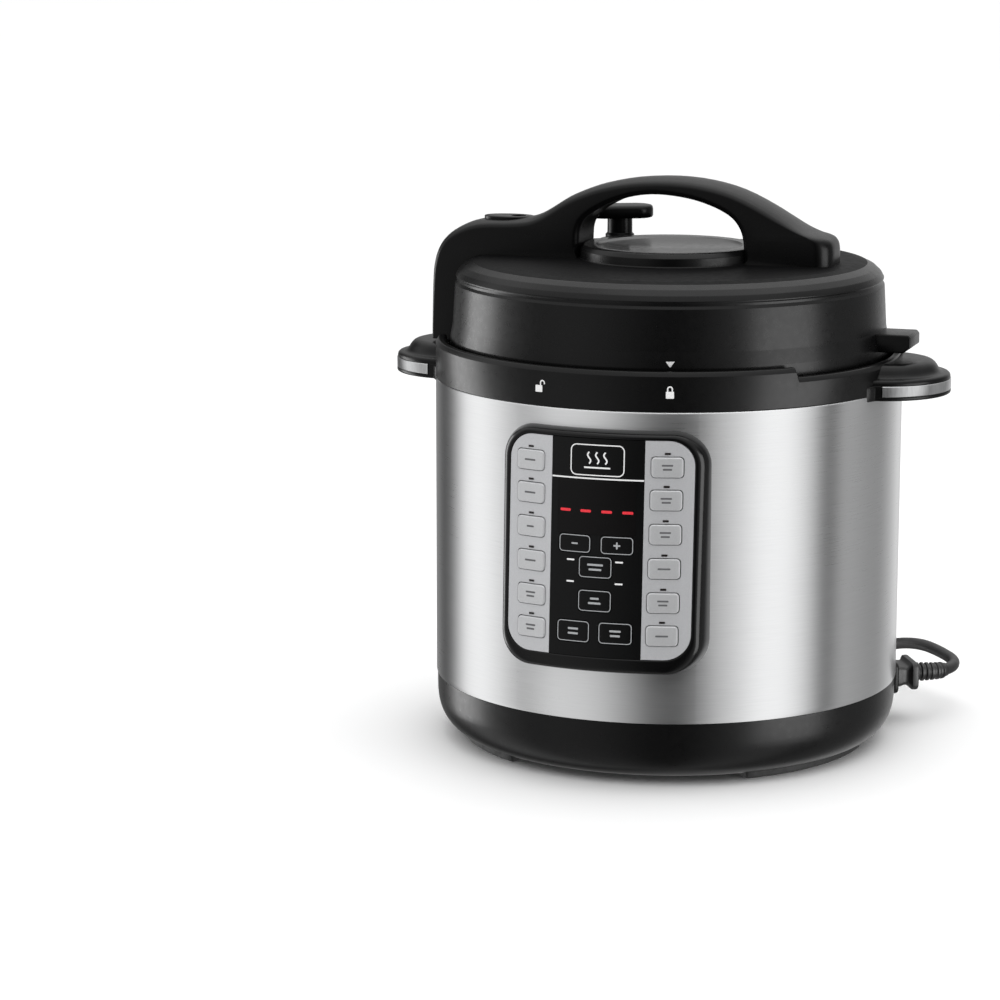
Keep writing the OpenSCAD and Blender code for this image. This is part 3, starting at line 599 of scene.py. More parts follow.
# feet
def arc_pad(name, r0, r1, z0, z1, a0, a1, rnd, mat, body, nodes, slot):
    rings = []
    for da, ins in ((0.0, 1.1), (0.12, 0.55), (0.35, 0.2), (0.7, 0.0)):
        rings.append((a0 + da, ins))
    st = [(a0 + 0.7 + (a1 - a0 - 1.4) * k / 24, 0.0) for k in range(1, 24)]
    rings = rings + st + [(a1 - da, ins) for da, ins in ((0.7, 0.0), (0.35, 0.2), (0.12, 0.55), (0.0, 1.1))]
    out = []
    for a, ins in rings:
        sec_ = fillet([(r0 + ins, z0 + ins * 0.6, rnd), (r1 - ins, z0 + ins * 0.6, rnd), (r1 - ins, z1, 0.3), (r0 + ins, z1, 0.3)], 4)
        out.append([(r * cos(rad(a)), r * sin(rad(a)), z) for r, z in sec_])
    return out


pads = [arc_pad("f", 101, 119.7, -3.5, 0.6, a - 90 - 24, a - 90 + 24, 1.2, None, None, None, None) for a in (-55, 62, 124, -124)]
loft("rubber_foot_pads", pads[0], M["rubber"], "base", ["rubber_feet"], extra=[(p, (True, True), False) for p in pads[1:]])

# collar with two high and two low stretches of rim
def rim_top(a):
    a = (a + 180) % 360 - 180
    w = 0.55
    t = ease((a + 43 + w) / (2 * w)) * (1 - ease((a - 12 + w) / (2 * w)))
    a2 = a % 360
    t += ease((a2 - 137 + w) / (2 * w)) * (1 - ease((a2 - 192 + w) / (2 * w)))
    return 230.0 - 5.5 * min(1, t)


ca = set(round(i * 1.5, 4) for i in range(240))
for s_ in (-43, 12, 137, 192):
    for d_ in (-0.6, -0.45, -0.3, -0.15, 0, 0.15, 0.3, 0.45, 0.6):
        ca.add(round((s_ + d_) % 360, 4))
ca = sorted(ca)
rings = []
for a in ca:
    h = rim_top(a)
    p_ = fillet([(124.7, 208.05, .2), (134.95, 208.05, .45), (135.0, h - 2.6, .8), (133.5, h, 1.0), (130.3, h, .7), (129.5, h - 1.0, .5), (129.5, 211, .3), (124.7, 211, .3)], 3)
    rings.append([(r * cos(rad(a)), r * sin(rad(a)), z) for r, z in p_])
loft("collar_ring_moulding", rings, M["black"], "base", ["collar_ring"], loop=True, sharp=50)

# ------------------------------------------------------------------ side handles
def dring(R, z, back=134.7, cx=124.7, n=72, nb=40):
    """plan outline: the handle's circle cut by the body's"""
    # angle on the small circle where it meets the big one
    lo_, hi_ = 0.05, pi - 0.01
    for _ in range(40):
        m_ = (lo_ + hi_) / 2
        if math.hypot(cx + R * cos(m_), R * sin(m_)) > back:
            lo_ = m_
        else:
            hi_ = m_
    pts = []
    for k in range(n + 1):
        a = -lo_ + 2 * lo_ * k / n
        pts.append((cx + R * cos(a), R * sin(a), z))
    b_ = math.atan2(R * sin(lo_), cx + R * cos(lo_))
    for k in range(1, nb):
        a = b_ - 2 * b_ * k / nb
        pts.append((back * cos(a), back * sin(a), z))
    return pts


grip = [dring(35.4, 212.6, 138.6), dring(35.4, 206.0, 138.6), dring(35.8, 205.4, 138.4), dring(36.6, 205.1, 138.0), dring(38.8, 205.0, 134.7), dring(39.6, 205.1), dring(40.1, 205.45), dring(40.3, 206.0),
        dring(40.3, 206.8), dring(40.15, 207.15), dring(39.7, 207.3), dring(39.45, 207.35), dring(39.45, 213.3), dring(39.7, 213.4), dring(39.9, 213.6), dring(39.9, 214.6), dring(39.6, 215.6), dring(38.9, 216.3), dring(37.9, 216.6),
        dring(36.4, 216.75), dring(35.2, 217.0), dring(34.4, 217.5), dring(33.7, 218.2), dring(33.0, 219.2), dring(32.3, 220.4), dring(31.4, 221.6),
        dring(30.3, 222.6), dring(29.0, 223.3), dring(27.4, 223.7), dring(25.6, 223.8)]
band_o = [(40.2, 207.45), (40.3, 207.8), (40.3, 212.9), (40.2, 213.25), (40.0, 213.35), (39.4, 213.35), (39.4, 207.35), (40.0, 207.35)]
for sgn, nm in ((1, "right"), (-1, "left")):
    rs = [[(sgn * p[0], sgn * p[1], p[2]) for p in r] for r in grip]
    loft("side_handle_%s_moulding" % nm, rs, M["black_handle"], "base", ["side_handle_" + nm], sharp=45)
    br = []
    a_end = math.acos((134.6 - 124.7) / 40.3)
    for k in range(73):
        a = -a_end + 2 * a_end * k / 72
        br.append([(sgn * (124.7 + R * cos(a)), sgn * R * sin(a), z) for R, z in band_o])
    loft("handle_band_" + nm, br, M["trim"], "base", ["handle_trims"], sharp=50)
    shoulders = []
    for side_ in (-1, 1):
        def at(R, a, z):
            return (sgn * (124.7 + R * cos(a)), sgn * side_ * R * sin(a), z)
        a0, a1 = a_end + 0.012, math.acos((129.0 - 124.7) / 40.3)
        secs = []
        for t in (0.0, 0.04, 0.5, 1.0):
            a = a0 + (a1 - a0) * t
            ro = 40.3 - (0.25 if t == 0.0 else 0.0)
            secs.append([at(38.6, a, 207.0), at(ro - 0.2, a, 207.0), at(ro, a, 207.3), at(ro, a, 213.2), at(ro - 0.3, a, 213.7), at(38.6, a, 213.8)])
        shoulders.append((secs, (True, True), False))
    for side_ in (-1, 1):
        wing = []
        for z_, in_ in ((205.05, 0.5), (205.25, 0.2), (205.6, 0.0), (212.7, 0.0), (213.1, 0.2), (213.3, 0.5)):
            wing.append([(sgn * (x_ - in_ * 0.75 * w_), sgn * side_ * (y_ - in_ * 0.66 * w_), z_) for x_, y_, w_ in
                         ((119.0, 37.0, 0), (131.4, 37.0, 0), (131.4, 38.6, 1), (130.4, 40.4, 1), (129.0, 42.8, 1), (127.8, 44.6, 1), (126.4, 46.1, 1), (124.8, 47.0, 1), (119.0, 47.4, 1))])
        shoulders.append((wing, (True, True), False))
    loft("side_handle_%s_shoulders" % nm, shoulders[0][0], M["black_handle"], "base", ["side_handle_" + nm], sharp=45, extra=shoulders[1:])

# ------------------------------------------------------------------ control panel
def panel_loop(hx, z0, z1, r, mode, val):
    out = []
    for (x, z) in rr_loop(hx, z0, z1, r):
        R = val if mode == "abs" else rf(z) + val if mode == "face" else 135 + (rf(z) - 135) * val
        out.append((x, -math.sqrt(R * R - x * x), z))
    return out


bz = [panel_loop(58.6, 63.5, 198.0, 19.0, "abs", 134.7), panel_loop(58.6, 63.5, 198.0, 19.0, "abs", 135.3), panel_loop(58.5, 63.6, 197.9, 18.9, "mix", 0.18), panel_loop(58.3, 63.8, 197.7, 18.7, "mix", 0.38),
      panel_loop(57.9, 64.2, 197.3, 18.3, "mix", 0.58), panel_loop(57.3, 64.8, 196.8, 17.7, "mix", 0.76), panel_loop(56.5, 65.6, 196.2, 16.9, "mix", 0.89), panel_loop(55.6, 66.7, 195.6, 16.4, "mix", 0.96),
      panel_loop(54.7, 68.2, 195.1, 15.9, "mix", 0.992), panel_loop(53.9, 70.4, 194.7, 15.3, "face", 0.0), panel_loop(53.1, 72.4, 194.3, 14.6, "face", -0.06), panel_loop(52.6, 73.2, 193.9, 14.1, "face", -0.3), panel_loop(52.42, 73.4, 193.72, 14.0, "face", -0.8),
      panel_loop(52.4, 73.4, 193.7, 14.0, "face", -1.3), panel_loop(50.0, 76.0, 190.5, 11.0, "face", -1.4), panel_loop(48.6, 78.6, 188.4, 8.0, "face", -3.2), panel_loop(49.0, 78.2, 188.9, 10.5, "abs", 136.2),
      panel_loop(52.0, 73.0, 190.0, 12, "abs", 134.7)]
loft("panel_bezel_frame", bz, M["gloss"], "base", ["panel_bezel"], loop=True, sharp=60)
key_z = [179.3, 161.3, 142.6, 123.8, 105.0, 86.8]
key_x = [39.5, 39.1, 38.6, 38.2, 37.7, 37.3]
key_xr = [38.2, 38.0, 37.9, 37.7, 37.5, 37.3]
mid = {"key_minus": (-12, 135.7, 18.4, 10), "key_plus": (12, 135.7, 18.4, 10), "key_pressure": (0, 123.2, 18.9, 12), "key_temperature": (0, 104.6, 18.9, 12),
       "key_delay": (-12, 87.2, 18.9, 12), "key_start": (12, 87.2, 18.9, 12)}


# keys: local plane of the panel
def key_frame(x, z):
    a = math.asin(x / rf(z))
    t = math.atan(0.052)
    n_ = Vector((sin(a) * cos(t), -cos(a) * cos(t), sin(t)))
    u = Vector((cos(a), sin(a), 0))
    v_ = n_.cross(u)
    if v_.z < 0:
        v_ = -v_
    o_ = Vector(on_face(x, z, 0))
    return o_, u, v_, n_


def key_hole(x, z, w, h, r):
    """outline of a key's opening in the sheet, as x and z on the face"""
    a = math.asin(x / rf(z))
    out = []
    for px_, pz_ in rr_loop(w / 2, -h / 2, h / 2, r, 5, 4, 4):
        R = rf(z + pz_)
        out.append((R * sin(a + px_ / R), z + pz_))
    return out


def inside(p, poly):
    x, y = p
    c = False
    n = len(poly)
    for i in range(n):
        x0, y0 = poly[i]
        x1, y1 = poly[(i + 1) % n]
        if (y0 > y) != (y1 > y) and x < (x1 - x0) * (y - y0) / (y1 - y0) + x0:
            c = not c
    return c


def sheet(name, outer, holes, d0, d1, mat, body, nodes, step=2.6, mapf=on_face):
    """thin moulded face with openings, following the panel's curve"""
    loops = [outer] + holes
    pts, edges = [], []
    for lp in loops:
        s0 = len(pts)
        pts += [Vector(p) for p in lp]
        edges += [(s0 + i, s0 + (i + 1) % len(lp)) for i in range(len(lp))]
    nb = len(pts)
    xs = [p.x for p in pts]
    zs_ = [p.y for p in pts]
    bx = [min(xs), max(xs), min(zs_), max(zs_)]
    rim = [tuple(p) for p in pts]
    ix = bx[0] + step * 0.7
    while ix < bx[1] - 0.5:
        iz = bx[2] + step * 0.7
        while iz < bx[3] - 0.5:
            q = (ix, iz)
            if inside(q, outer) and not any(inside(q, h_) for h_ in holes) and min((q[0] - r_[0]) ** 2 + (q[1] - r_[1]) ** 2 for r_ in rim) > 1.2:
                pts.append(Vector(q))
            iz += step
        ix += step
    v2, e2, f2, *_ = delaunay_2d_cdt(pts, edges, [], 0, 1e-5)
    tris = []
    for f_ in f2:
        cx = sum(v2[i].x for i in f_) / len(f_)
        cz = sum(v2[i].y for i in f_) / len(f_)
        if inside((cx, cz), outer) and not any(inside((cx, cz), h_) for h_ in holes):
            a_ = sum(v2[f_[i]].x * v2[f_[(i + 1) % len(f_)]].y - v2[f_[(i + 1) % len(f_)]].x * v2[f_[i]].y for i in range(len(f_)))
            tris.append(tuple(f_) if a_ > 0 else tuple(f_)[::-1])
    m_ = len(v2)
    verts = [mapf(p.x, p.y, d1) for p in v2] + [mapf(p.x, p.y, d0) for p in v2]
    faces = list(tris) + [tuple(i + m_ for i in f_)[::-1] for f_ in tris]
    count = {}
    for f_ in tris:
        for i in range(len(f_)):
            a_, b_ = f_[i], f_[(i + 1) % len(f_)]
            count[(a_, b_)] = 1
    for (a_, b_) in list(count):
        if (b_, a_) not in count:
            faces.append((b_, a_, a_ + m_, b_ + m_))
    me = mesh_from(name, verts, faces)
    return finish_obj(name, me, M[mat] if isinstance(mat, str) else mat, body, nodes, 50)


side_key = [(-key_x[i], key_z[i]) for i in range(6)] + [(key_xr[i], key_z[i]) for i in range(6)]
face_out = rr_loop(52.3, 73.5, 193.6, 13.9, 24, 30, 12)


def half_face(sgn):
    o_ = []
    zt = 193.6
    for k in range(31):
        o_.append((26.3, 193.6 - 120.1 * k / 30))
    for k in range(1, 8):
        o_.append((26.3 + 12.1 * k / 8, 73.5))
    for k in range(13):
        a = rad(-90 + 90 * k / 12)
        o_.append((38.4 + 13.9 * cos(a), 87.4 + 13.9 * sin(a)))
    for k in range(1, 24):
        o_.append((52.3, 87.4 + 92.3 * k / 24))
    for k in range(13):
        a = rad(90 * k / 12)
        o_.append((38.4 + 13.9 * cos(a), 179.7 + 13.9 * sin(a)))
    for k in range(1, 8):
        o_.append((38.4 - 12.1 * k / 8, 193.6))
    if sgn < 0:
        o_ = [(-x, z) for x, z in o_][::-1]
    return o_


for sgn, nm in ((-1, "left"), (1, "right")):
    hs = [key_hole(x, z, 18.3, 11.8, 2.4) for x, z in side_key if x * sgn > 0]
    sheet("panel_strip_" + nm, half_face(sgn), hs, -1.15, -0.2, "silver", "base", ["panel_strips"])
fo = [(-26.1 + 52.2 * k / 24, 73.5) for k in range(24)] + [(26.1, 73.5 + 120.1 * k / 40) for k in range(40)] + [(26.1 - 52.2 * k / 24, 193.6) for k in range(24)] + [(-26.1, 193.6 - 120.1 * k / 40) for k in range(40)]
hs = [key_hole(x, z, w + 0.7, h + 0.7, 2.6) for x, z, w, h in mid.values()]
hs.append([(x, z + 156) for x, z in rr_loop(22.1, -15.1, 15.1, 1.2, 16, 10, 4)])
sheet("panel_fascia_face", fo, hs, -1.15, -0.2, "fascia", "base", ["panel_fascia"], step=3.4)
sheet("display_window_lens", [(x, z + 156) for x, z in rr_loop(22.0, -15.0, 15.0, 1.1, 16, 10, 4)], [], -1.15, -0.22, "lens", "base", ["display_window"], step=3.4)
carry("control_board", "board", 0.2, 1)


def plate(name, outline, z_or_d, thick, mat, body, nodes=(), slot=None, rnd=0.0, mapf=on_face, hole=None):
    """thin printed or moulded shape that follows the panel's face; outline in x, z"""
    n = len(outline)
    cx = sum(p[0] for p in outline) / n
    cz = sum(p[1] for p in outline) / n
    def lay(off, d):
        o = []
        for (x, z) in outline:
            v = Vector((x - cx, z - cz))
            l = max(v.length, 1e-6)
            v = v * max(0.0, (l - off) / l)
            o.append(mapf(cx + v.x, cz + v.y, d))
        return o
    return loft(name, [lay(0, z_or_d), lay(0, z_or_d + thick * 0.7), lay(rnd, z_or_d + thick)], M[mat], body, nodes, sharp=60)


def frame_rings(w, h, r, line, cx, cz, d, t, mapf=on_face):
    """outline of a key: a thin closed band; gives rings for loft with loop"""
    def lp(ww, hh, rr_, dd):
        q = rr_loop(ww / 2, -hh / 2, hh / 2, rr_, 6, 5, 5)
        return [mapf(cx + x, cz + z, dd) for x, z in q]
    return [lp(w, h, r, d), lp(w, h, r, d + t), lp(w - 2 * line, h - 2 * line, r - line, d + t), lp(w - 2 * line, h - 2 * line, r - line, d)]


def bar_pts(w, h, cx, cz, r=None, n=4):
    r = min(w, h) / 2 * 0.98 if r is None else r
    pts = []
    for sx, sz, a0 in ((1, 1, 0), (-1, 1, 90), (-1, -1, 180), (1, -1, 270)):
        for k in range(n + 1):
            a = rad(a0 + 90 * k / n)
            pts.append((cx + sx * (w / 2 - r) + r * cos(a), cz + sz * (h / 2 - r) + r * sin(a)))
    return pts


def flat_group(name, outlines, d, t, mat, body, nodes=(), mapf=on_face):
    groups = []
    for o_ in outlines:
        groups.append(([[mapf(x, z, d) for x, z in o_], [mapf(x, z, d + t) for x, z in o_]], (True, True), False))
    return loft(name, groups[0][0], M[mat], body, nodes, sharp=60, extra=groups[1:])


# white line over the display, small level marks beside the centre keys, generic steam mark
outl = []
line_z = 171.8
strip = []
nseg = 20
top_ = [(-26.0 + 52.0 * k / nseg, line_z + 0.45) for k in range(nseg + 1)]
bot_ = [(26.0 - 52.0 * k / nseg, line_z - 0.45) for k in range(nseg + 1)]
for x in (-14.2, 13.4):
    for z in (126.6, 114.6):
        outl.append(bar_pts(4.4, 0.9, x, z))
loft_lines = []
for o_ in outl:
    loft_lines.append(o_)


def stroke(pts, w):
    """flat stroke along a centre line, as an outline"""
    l_, r_ = [], []
    for i, p in enumerate(pts):
        a = Vector(pts[max(i - 1, 0)])
        b_ = Vector(pts[min(i + 1, len(pts) - 1)])
        t = (b_ - a).normalized()
        n_ = Vector((-t.y, t.x)) * w / 2
        l_.append((p[0] + n_.x, p[1] + n_.y))
        r_.append((p[0] - n_.x, p[1] - n_.y))
    return l_ + r_[::-1]


for x in (-4.6, 0, 4.6):
    loft_lines.append(stroke([(x + 0.9 * sin(k / 12 * 2 * pi), 179.9 + 6.4 * k / 12) for k in range(13)], 0.85))
loft_lines += [stroke([(x, 177.8), (x + 3.0, 177.8)], 0.85) for x in (-7.4, -4.4, -1.4, 1.5, 4.4)]
flat_group("panel_marks", loft_lines, -0.2, 0.05, "white", "base")
loft("panel_line", [[on_face(-26.0 + 52.0 * k / nseg, line_z + dz_, d_) for dz_, d_ in ((-0.4, -0.2), (0.4, -0.2), (0.4, -0.15), (-0.4, -0.15))] for k in range(nseg + 1)], M["white"], "base", sharp=60)
loft("panel_badge_outline", frame_rings(30.6, 17.2, 3.4, 0.6, 0, 181.9, -0.2, 0.05), M["white"], "base", loop=True, sharp=60)

lamps = []
for i in range(6):
    for s_ in (-1, 1):
        lamps.append(bar_pts(3.2, 1.15, -key_x[i] if s_ < 0 else key_xr[i], key_z[i] + 7.4, 0.35))
flat_group("indicator_lamp_bars", lamps, -0.2, 0.22, "lamp_off", "base", ["indicator_lamps"])
digits = []
for x in (-17.7, -6.0, 5.9, 17.6):
    digits.append(bar_pts(6.0, 1.5, x, 153.9, 0.6))
flat_group("display_dashes", digits, -0.2, 0.06, "digit", "base", ["indicator_lamps"])


def key_cap(name, x, z, w, h, r, top, mat, body, node, marks=(), crown=0.12):
    o_, u, v_, n_ = key_frame(x, z)
    R0 = rf(z)
    def ring(ins, d, bow=1.0):
        out = []
        for (px_, pz_) in rr_loop(w / 2 - ins, -h / 2 + ins, h / 2 - ins, max(0.3, r - ins), 8, 5, 5):
            drop = (px_ * px_) / (2 * R0) * bow
            out.append(o_ + u * px_ + v_ * pz_ + n_ * (d - drop))
        return out
    rings_ = [ring(0.0, -2.3), ring(0.0, top - 0.62), ring(0.08, top - 0.36), ring(0.26, top - 0.16), ring(0.55, top - 0.05), ring(1.0, top), ring(2.2, top + crown * 0.5), ring(4.0, top + crown * 0.9)]
    ob = loft(name, rings_, M[mat], body, [node], sharp=50)
    gs = []
    for (mx, mz, mw, mh, mr) in marks:
        pts = bar_pts(mw, mh, mx, mz, mr)
        def at(q, d):
            ins = min(w / 2 - abs(q[0]), h / 2 - abs(q[1]))
            dome = top + crown * (0.5 * min(1, max(0, (ins - 1) / 1.2)) + 0.4 * min(1, max(0, (ins - 2.2) / 1.8)))
            return o_ + u * q[0] + v_ * q[1] + n_ * (d + dome - q[0] ** 2 / (2 * R0))
        gs.append(([[at(q, -0.02) for q in pts], [at(q, 0.03) for q in pts]], (True, True), False))
    return ob, gs


bars1 = [(0, 0.0, 7.0, 1.0, 0.4)]
bars2 = [(0, 1.1, 6.2, 1.0, 0.4), (0, -1.1, 5.0, 1.0, 0.4)]
left_marks = [bars1, bars1, [(0, 0, 4.6, 1.0, 0.4)], bars1, bars2, bars2]
right_marks = [bars2, bars2, bars2, bars1, bars2, bars1]
for i in range(6):
    for s_, side_, mk in ((-1, "l", left_marks), (1, "r", right_marks)):
        nm = "key_profile_%s%d" % (side_, i + 1)
        ob, gs = key_cap(nm + "_cap", -key_x[i] if s_ < 0 else key_xr[i], key_z[i], 17.5, 11, 2.2, 0.75, "key", "button_" + nm, nm, mk[i])
        if gs:
            loft(nm + "_mark", gs[0][0], M["grey_print"], "button_" + nm, sharp=60, extra=gs[1:])

mid_marks = {"key_minus": [(0, 0, 3.6, 0.9, 0.3)], "key_plus": [(0, 0, 3.8, 0.9, 0.3), (0, 0, 0.9, 3.8, 0.3)],
             "key_pressure": [(0, 1.3, 9.0, 1.1, 0.4), (0, -1.3, 7.2, 1.1, 0.4)], "key_temperature": [(0, 1.3, 5.0, 1.1, 0.4), (0, -1.3, 7.2, 1.1, 0.4)],
             "key_delay": [(0, 1.3, 6.0, 1.1, 0.4), (0, -1.3, 6.0, 1.1, 0.4)], "key_start": [(0, 1.3, 6.4, 1.1, 0.4), (0, -1.3, 5.6, 1.1, 0.4)]}
for nm, (x, z, w, h) in mid.items():
    ob, gs = key_cap(nm + "_cap", x, z, w, h, 2.3, -0.12, "fascia", "button_" + nm, nm, mid_marks[nm], crown=0.05)
    o_, u, v_, n_ = key_frame(x, z)
    def lm(px_, pz_, d):
        return o_ + u * px_ + v_ * pz_ + n_ * (d - px_ * px_ / (2 * rf(z)))
    fr = frame_rings(w - 0.5, h - 0.5, 2.1, 0.42, 0, 0, -0.16, 0.08, lm)
    loft(nm + "_print", fr, M["print_soft"], "button_" + nm, loop=True, sharp=60, extra=gs)

# ------------------------------------------------------------------ lid
lid_prof = [(124.4, 213.2, .5), (126.6, 213.2, .6), (126.6, 231, 3), (125.1, 239.5, 6), (123.75, 262.6, .9), (122.75, 264.2, .35), (122.75, 265.5, .35), (123.45, 266.6, .9), (121.7, 269.7, 2.0), (118.5, 272.6, 2.4), (114.0, 274.8, 2.6), (108.0, 276.0, 3.0), (102, 276.0, 1.0),
            (52.2, 276.0, .9), (51.6, 277.0, .6), (51.4, 281.4, 1.0), (49.4, 283.9, 1.2), (42.2, 284.1, .8), (41.0, 283.2, .6), (40.2, 282.9, .4), (0, 282.7, 0),
            (0, 280.2, 0), (41, 280.2, 1), (41, 273.6, 1), (106, 273.6, 2), (120.2, 265, 2), (121.4, 262, 2), (122.8, 239, 3), (124.4, 230, 2)]


def lid_pick(a, b_):
    r, z = (a[0] + b_[0]) / 2, (a[1] + b_[1]) / 2
    return z > 275.2 and r > 51.9


lathe("lid_cover_shell", fillet(lid_prof, 5), M["black_lid"], "lid_body", ["lid_cover"], n=256, sharp=50, mat2=M["lid_top"], pick2=lid_pick)
lathe("lid_cover_disc_face", [(0, 282.76), (40.15, 282.96), (41.05, 283.27), (41.7, 283.75), (42.25, 284.16), (48.9, 284.16), (49.1, 284.05), (48.9, 283.7), (42.4, 283.7), (40.9, 282.7), (0, 282.5)], M["lid_disc"], "lid_body", n=160, sharp=30)


def block(name, outline_xz, y0, y1, rnd, mat, body, nodes, seg=4, sharp=50):
    """a shape with an x, z outline and rounded edges on both sides"""
    P_ = [Vector(p) for p in outline_xz]
    n = len(P_)
    area = sum(P_[i].x * P_[(i + 1) % n].y - P_[(i + 1) % n].x * P_[i].y for i in range(n))
    nrm = []
    for i in range(n):
        t = (P_[(i + 1) % n] - P_[i - 1]).normalized()
        nn = Vector((t.y, -t.x)) * (1 if area > 0 else -1)
        nrm.append(nn)
    rings_ = []
    for k in range(seg + 1):
        a = pi / 2 * k / seg
        rings_.append(([P_[i] - nrm[i] * rnd * (1 - sin(a)) for i in range(n)], y0 + rnd * (1 - cos(a))))
    for k in range(seg, -1, -1):
        a = pi / 2 * k / seg
        rings_.append(([P_[i] - nrm[i] * rnd * (1 - sin(a)) for i in range(n)], y1 - rnd * (1 - cos(a))))
    return loft(name, [[(p.x, y, p.y) for p in r] for r, y in rings_], mat, body, nodes, sharp=sharp)


fin = fillet([(123.4, 228.6, .2), (140.2, 228.6, 1.2), (144.55, 231.8, 1.2), (144.55, 237.4, 1.2), (143, 239.15, 1.2), (123.4, 239.15, .2)], 4)
block("lid_cover_fin", fin, -13, 13, 1.0, M["black_lid"], "lid_body", ["lid_cover"])

# bar handle: the side outline swells across its width
top_line = [(-140.6, 225.3), (-140.6, 232), (-140.7, 240), (-140.8, 249), (-140.8, 259), (-140.3, 268.5), (-138.4, 276.5), (-135, 283), (-130.6, 287.6), (-125.2, 291), (-119.4, 293.6), (-112.6, 295.4), (-106, 296.2),
            (-96, 296.6), (-88, 297.1), (-81.4, 298.0), (-75, 300.4), (-69, 303.8), (-58.8, 310.2), (-48, 315.0), (-37.1, 318.6), (-18.6, 322.2), (4, 323.4), (24.2, 321.6), (42.3, 317.0), (60.4, 308.6), (70, 302.8),
            (78.3, 297.4), (83.5, 294.6), (88, 293.2), (92.5, 292.2), (95.6, 290.8), (97.6, 288.2), (98.4, 284), (98.4, 276.4)]
arch = [(48.4, 275.9), (47.9, 284), (47.0, 291.3), (45.0, 296.6), (40.8, 301.8), (33.6, 306.2), (26, 309.2), (18, 311.5), (6, 313.4), (-6, 313.9), (-17, 312.6), (-28, 309.4), (-35.8, 305.8), (-42.4, 301.9),
        (-47.2, 297.6), (-49.6, 292.6), (-50.2, 286), (-50.4, 275.9)]
hp, hk = [], []
tl = smooth_line(top_line, 3)
for i, p in enumerate(tl):
    hp.append(p)
    t_end = ease((p.x - 60) / 28.0)
    hk.append(("T", t_end))
for p in [Vector((98.4, 275.6)), Vector((75, 275.6))]:
    hp.append(p)
    hk.append(("B", 1.0 if p.x > 90 else 0.0))
al = smooth_line(arch, 3)
for i, p in enumerate(al):
    hp.append(p)
    hk.append(("O", 1.0 if 277 < p.y else 0.0))
for p in [(-80, 275.6), (-105.9, 275.4), (-113.8, 273.8), (-118.0, 271.8), (-121.0, 269.0), (-122.7, 266.6), (-123.0, 262), (-124.0, 250), (-124.6, 239), (-126.0, 231), (-126.2, 225.3)]:
    hp.append(Vector(p))
    hk.append(("B", 0.0))
n = len(hp)
area = sum(hp[i].x * hp[(i + 1) % n].y - hp[(i + 1) % n].x * hp[i].y for i in range(n))
nrm = []
for i in range(n):
    t = (hp[(i + 1) % n] - hp[i - 1]).normalized()
    nrm.append(Vector((t.y, -t.x)) * (1 if area > 0 else -1))
nrm[0] = Vector((-1, 0))
ti = max(i for i in range(n) if hk[i][0] == "T")
nrm[ti] = Vector((1, 0))
# inset against distance from the middle
T_in = [(0, 0), (4, 0.1), (8, 0.42), (11, 0.85), (13, 1.25), (14.8, 1.75), (16.1, 2.35), (17.0, 3.05), (17.6, 3.8), (17.9, 4.5), (18.0, 5.1)]


def interp(tab, q):
    for (a, va), (b_, vb) in zip(tab, tab[1:]):
        if q <= b_:
            return va + (vb - va) * (q - a) / (b_ - a)
    return tab[-1][1]


def bar_point(i, q):
    """place of outline point i at distance q from the middle plane"""
    kind, w_ = hk[i]
    if kind == "T":
        ins = interp(T_in, q) * (1 - 0.75 * w_)
        if hp[i].x < -120:
            ins *= 0.45 + 0.55 * min(1, max(0, (hp[i].y - 232) / 40))
    elif kind == "O":
        ins = w_ * (0 if q < 14.5 else 3.5 - math.sqrt(max(0, 3.5 ** 2 - (q - 14.5) ** 2)))
    else:
        ins = 0.0
    x, z = hp[i].x - nrm[i].x * ins, hp[i].y - nrm[i].y * ins
    e_ = 0.0 if q <= 8 else 10 - math.sqrt(max(0, 100 - (q - 8) ** 2))
    if x > 84:
        x = 84 + (x - 84) * (14.4 - e_) / 14.4
    return x, z


ys = [0, 4, 8, 10, 11.5, 13, 14.3, 15.4, 16.2, 16.8, 17.3, 17.65, 17.88, 18.0]
yy = [-y for y in ys[::-1]] + ys[1:]
verts = []
for y in yy:
    for i in range(n):
        x, z = bar_point(i, abs(y))
        verts.append((x, y, z))
faces = [tuple(f_) for f_ in grid_faces(len(yy), n)]
for ri in (0, len(yy) - 1):
    flat = [Vector((verts[ri * n + i][0], verts[ri * n + i][2], 0)) for i in range(n)]
    for t_ in tessellate_polygon([flat]):
        faces.append(tuple(ri * n + q for q in t_))
finish_obj("lid_handle_bar", mesh_from("lid_handle_bar", verts, faces), M["black_handle"], "lid_body", ["lid_handle"], 40)
# raised oval round the float valve's hole
def oval(cx, cy, ax, ay, z, n_=64):
    return [(cx + ax * cos(2 * pi * k / n_), cy + ay * sin(2 * pi * k / n_), z) for k in range(n_)]


fx = -91.0
plq = [oval(fx, 0, 4.8, 4.8, 294.4), oval(-97, 0, 15.2, 9.4, 294.4), oval(-97, 0, 15.2, 9.4, 297.1), oval(-97, 0, 14.9, 9.1, 297.45), oval(-97, 0, 14.3, 8.5, 297.6), oval(-97, 0, 10, 6.5, 297.65), oval(fx, 0, 5.1, 5.1, 297.65), oval(fx, 0, 4.8, 4.8, 297.45)]
loft("lid_handle_plaque", plq, M["black_handle"], "lid_body", ["lid_handle"], loop=True)

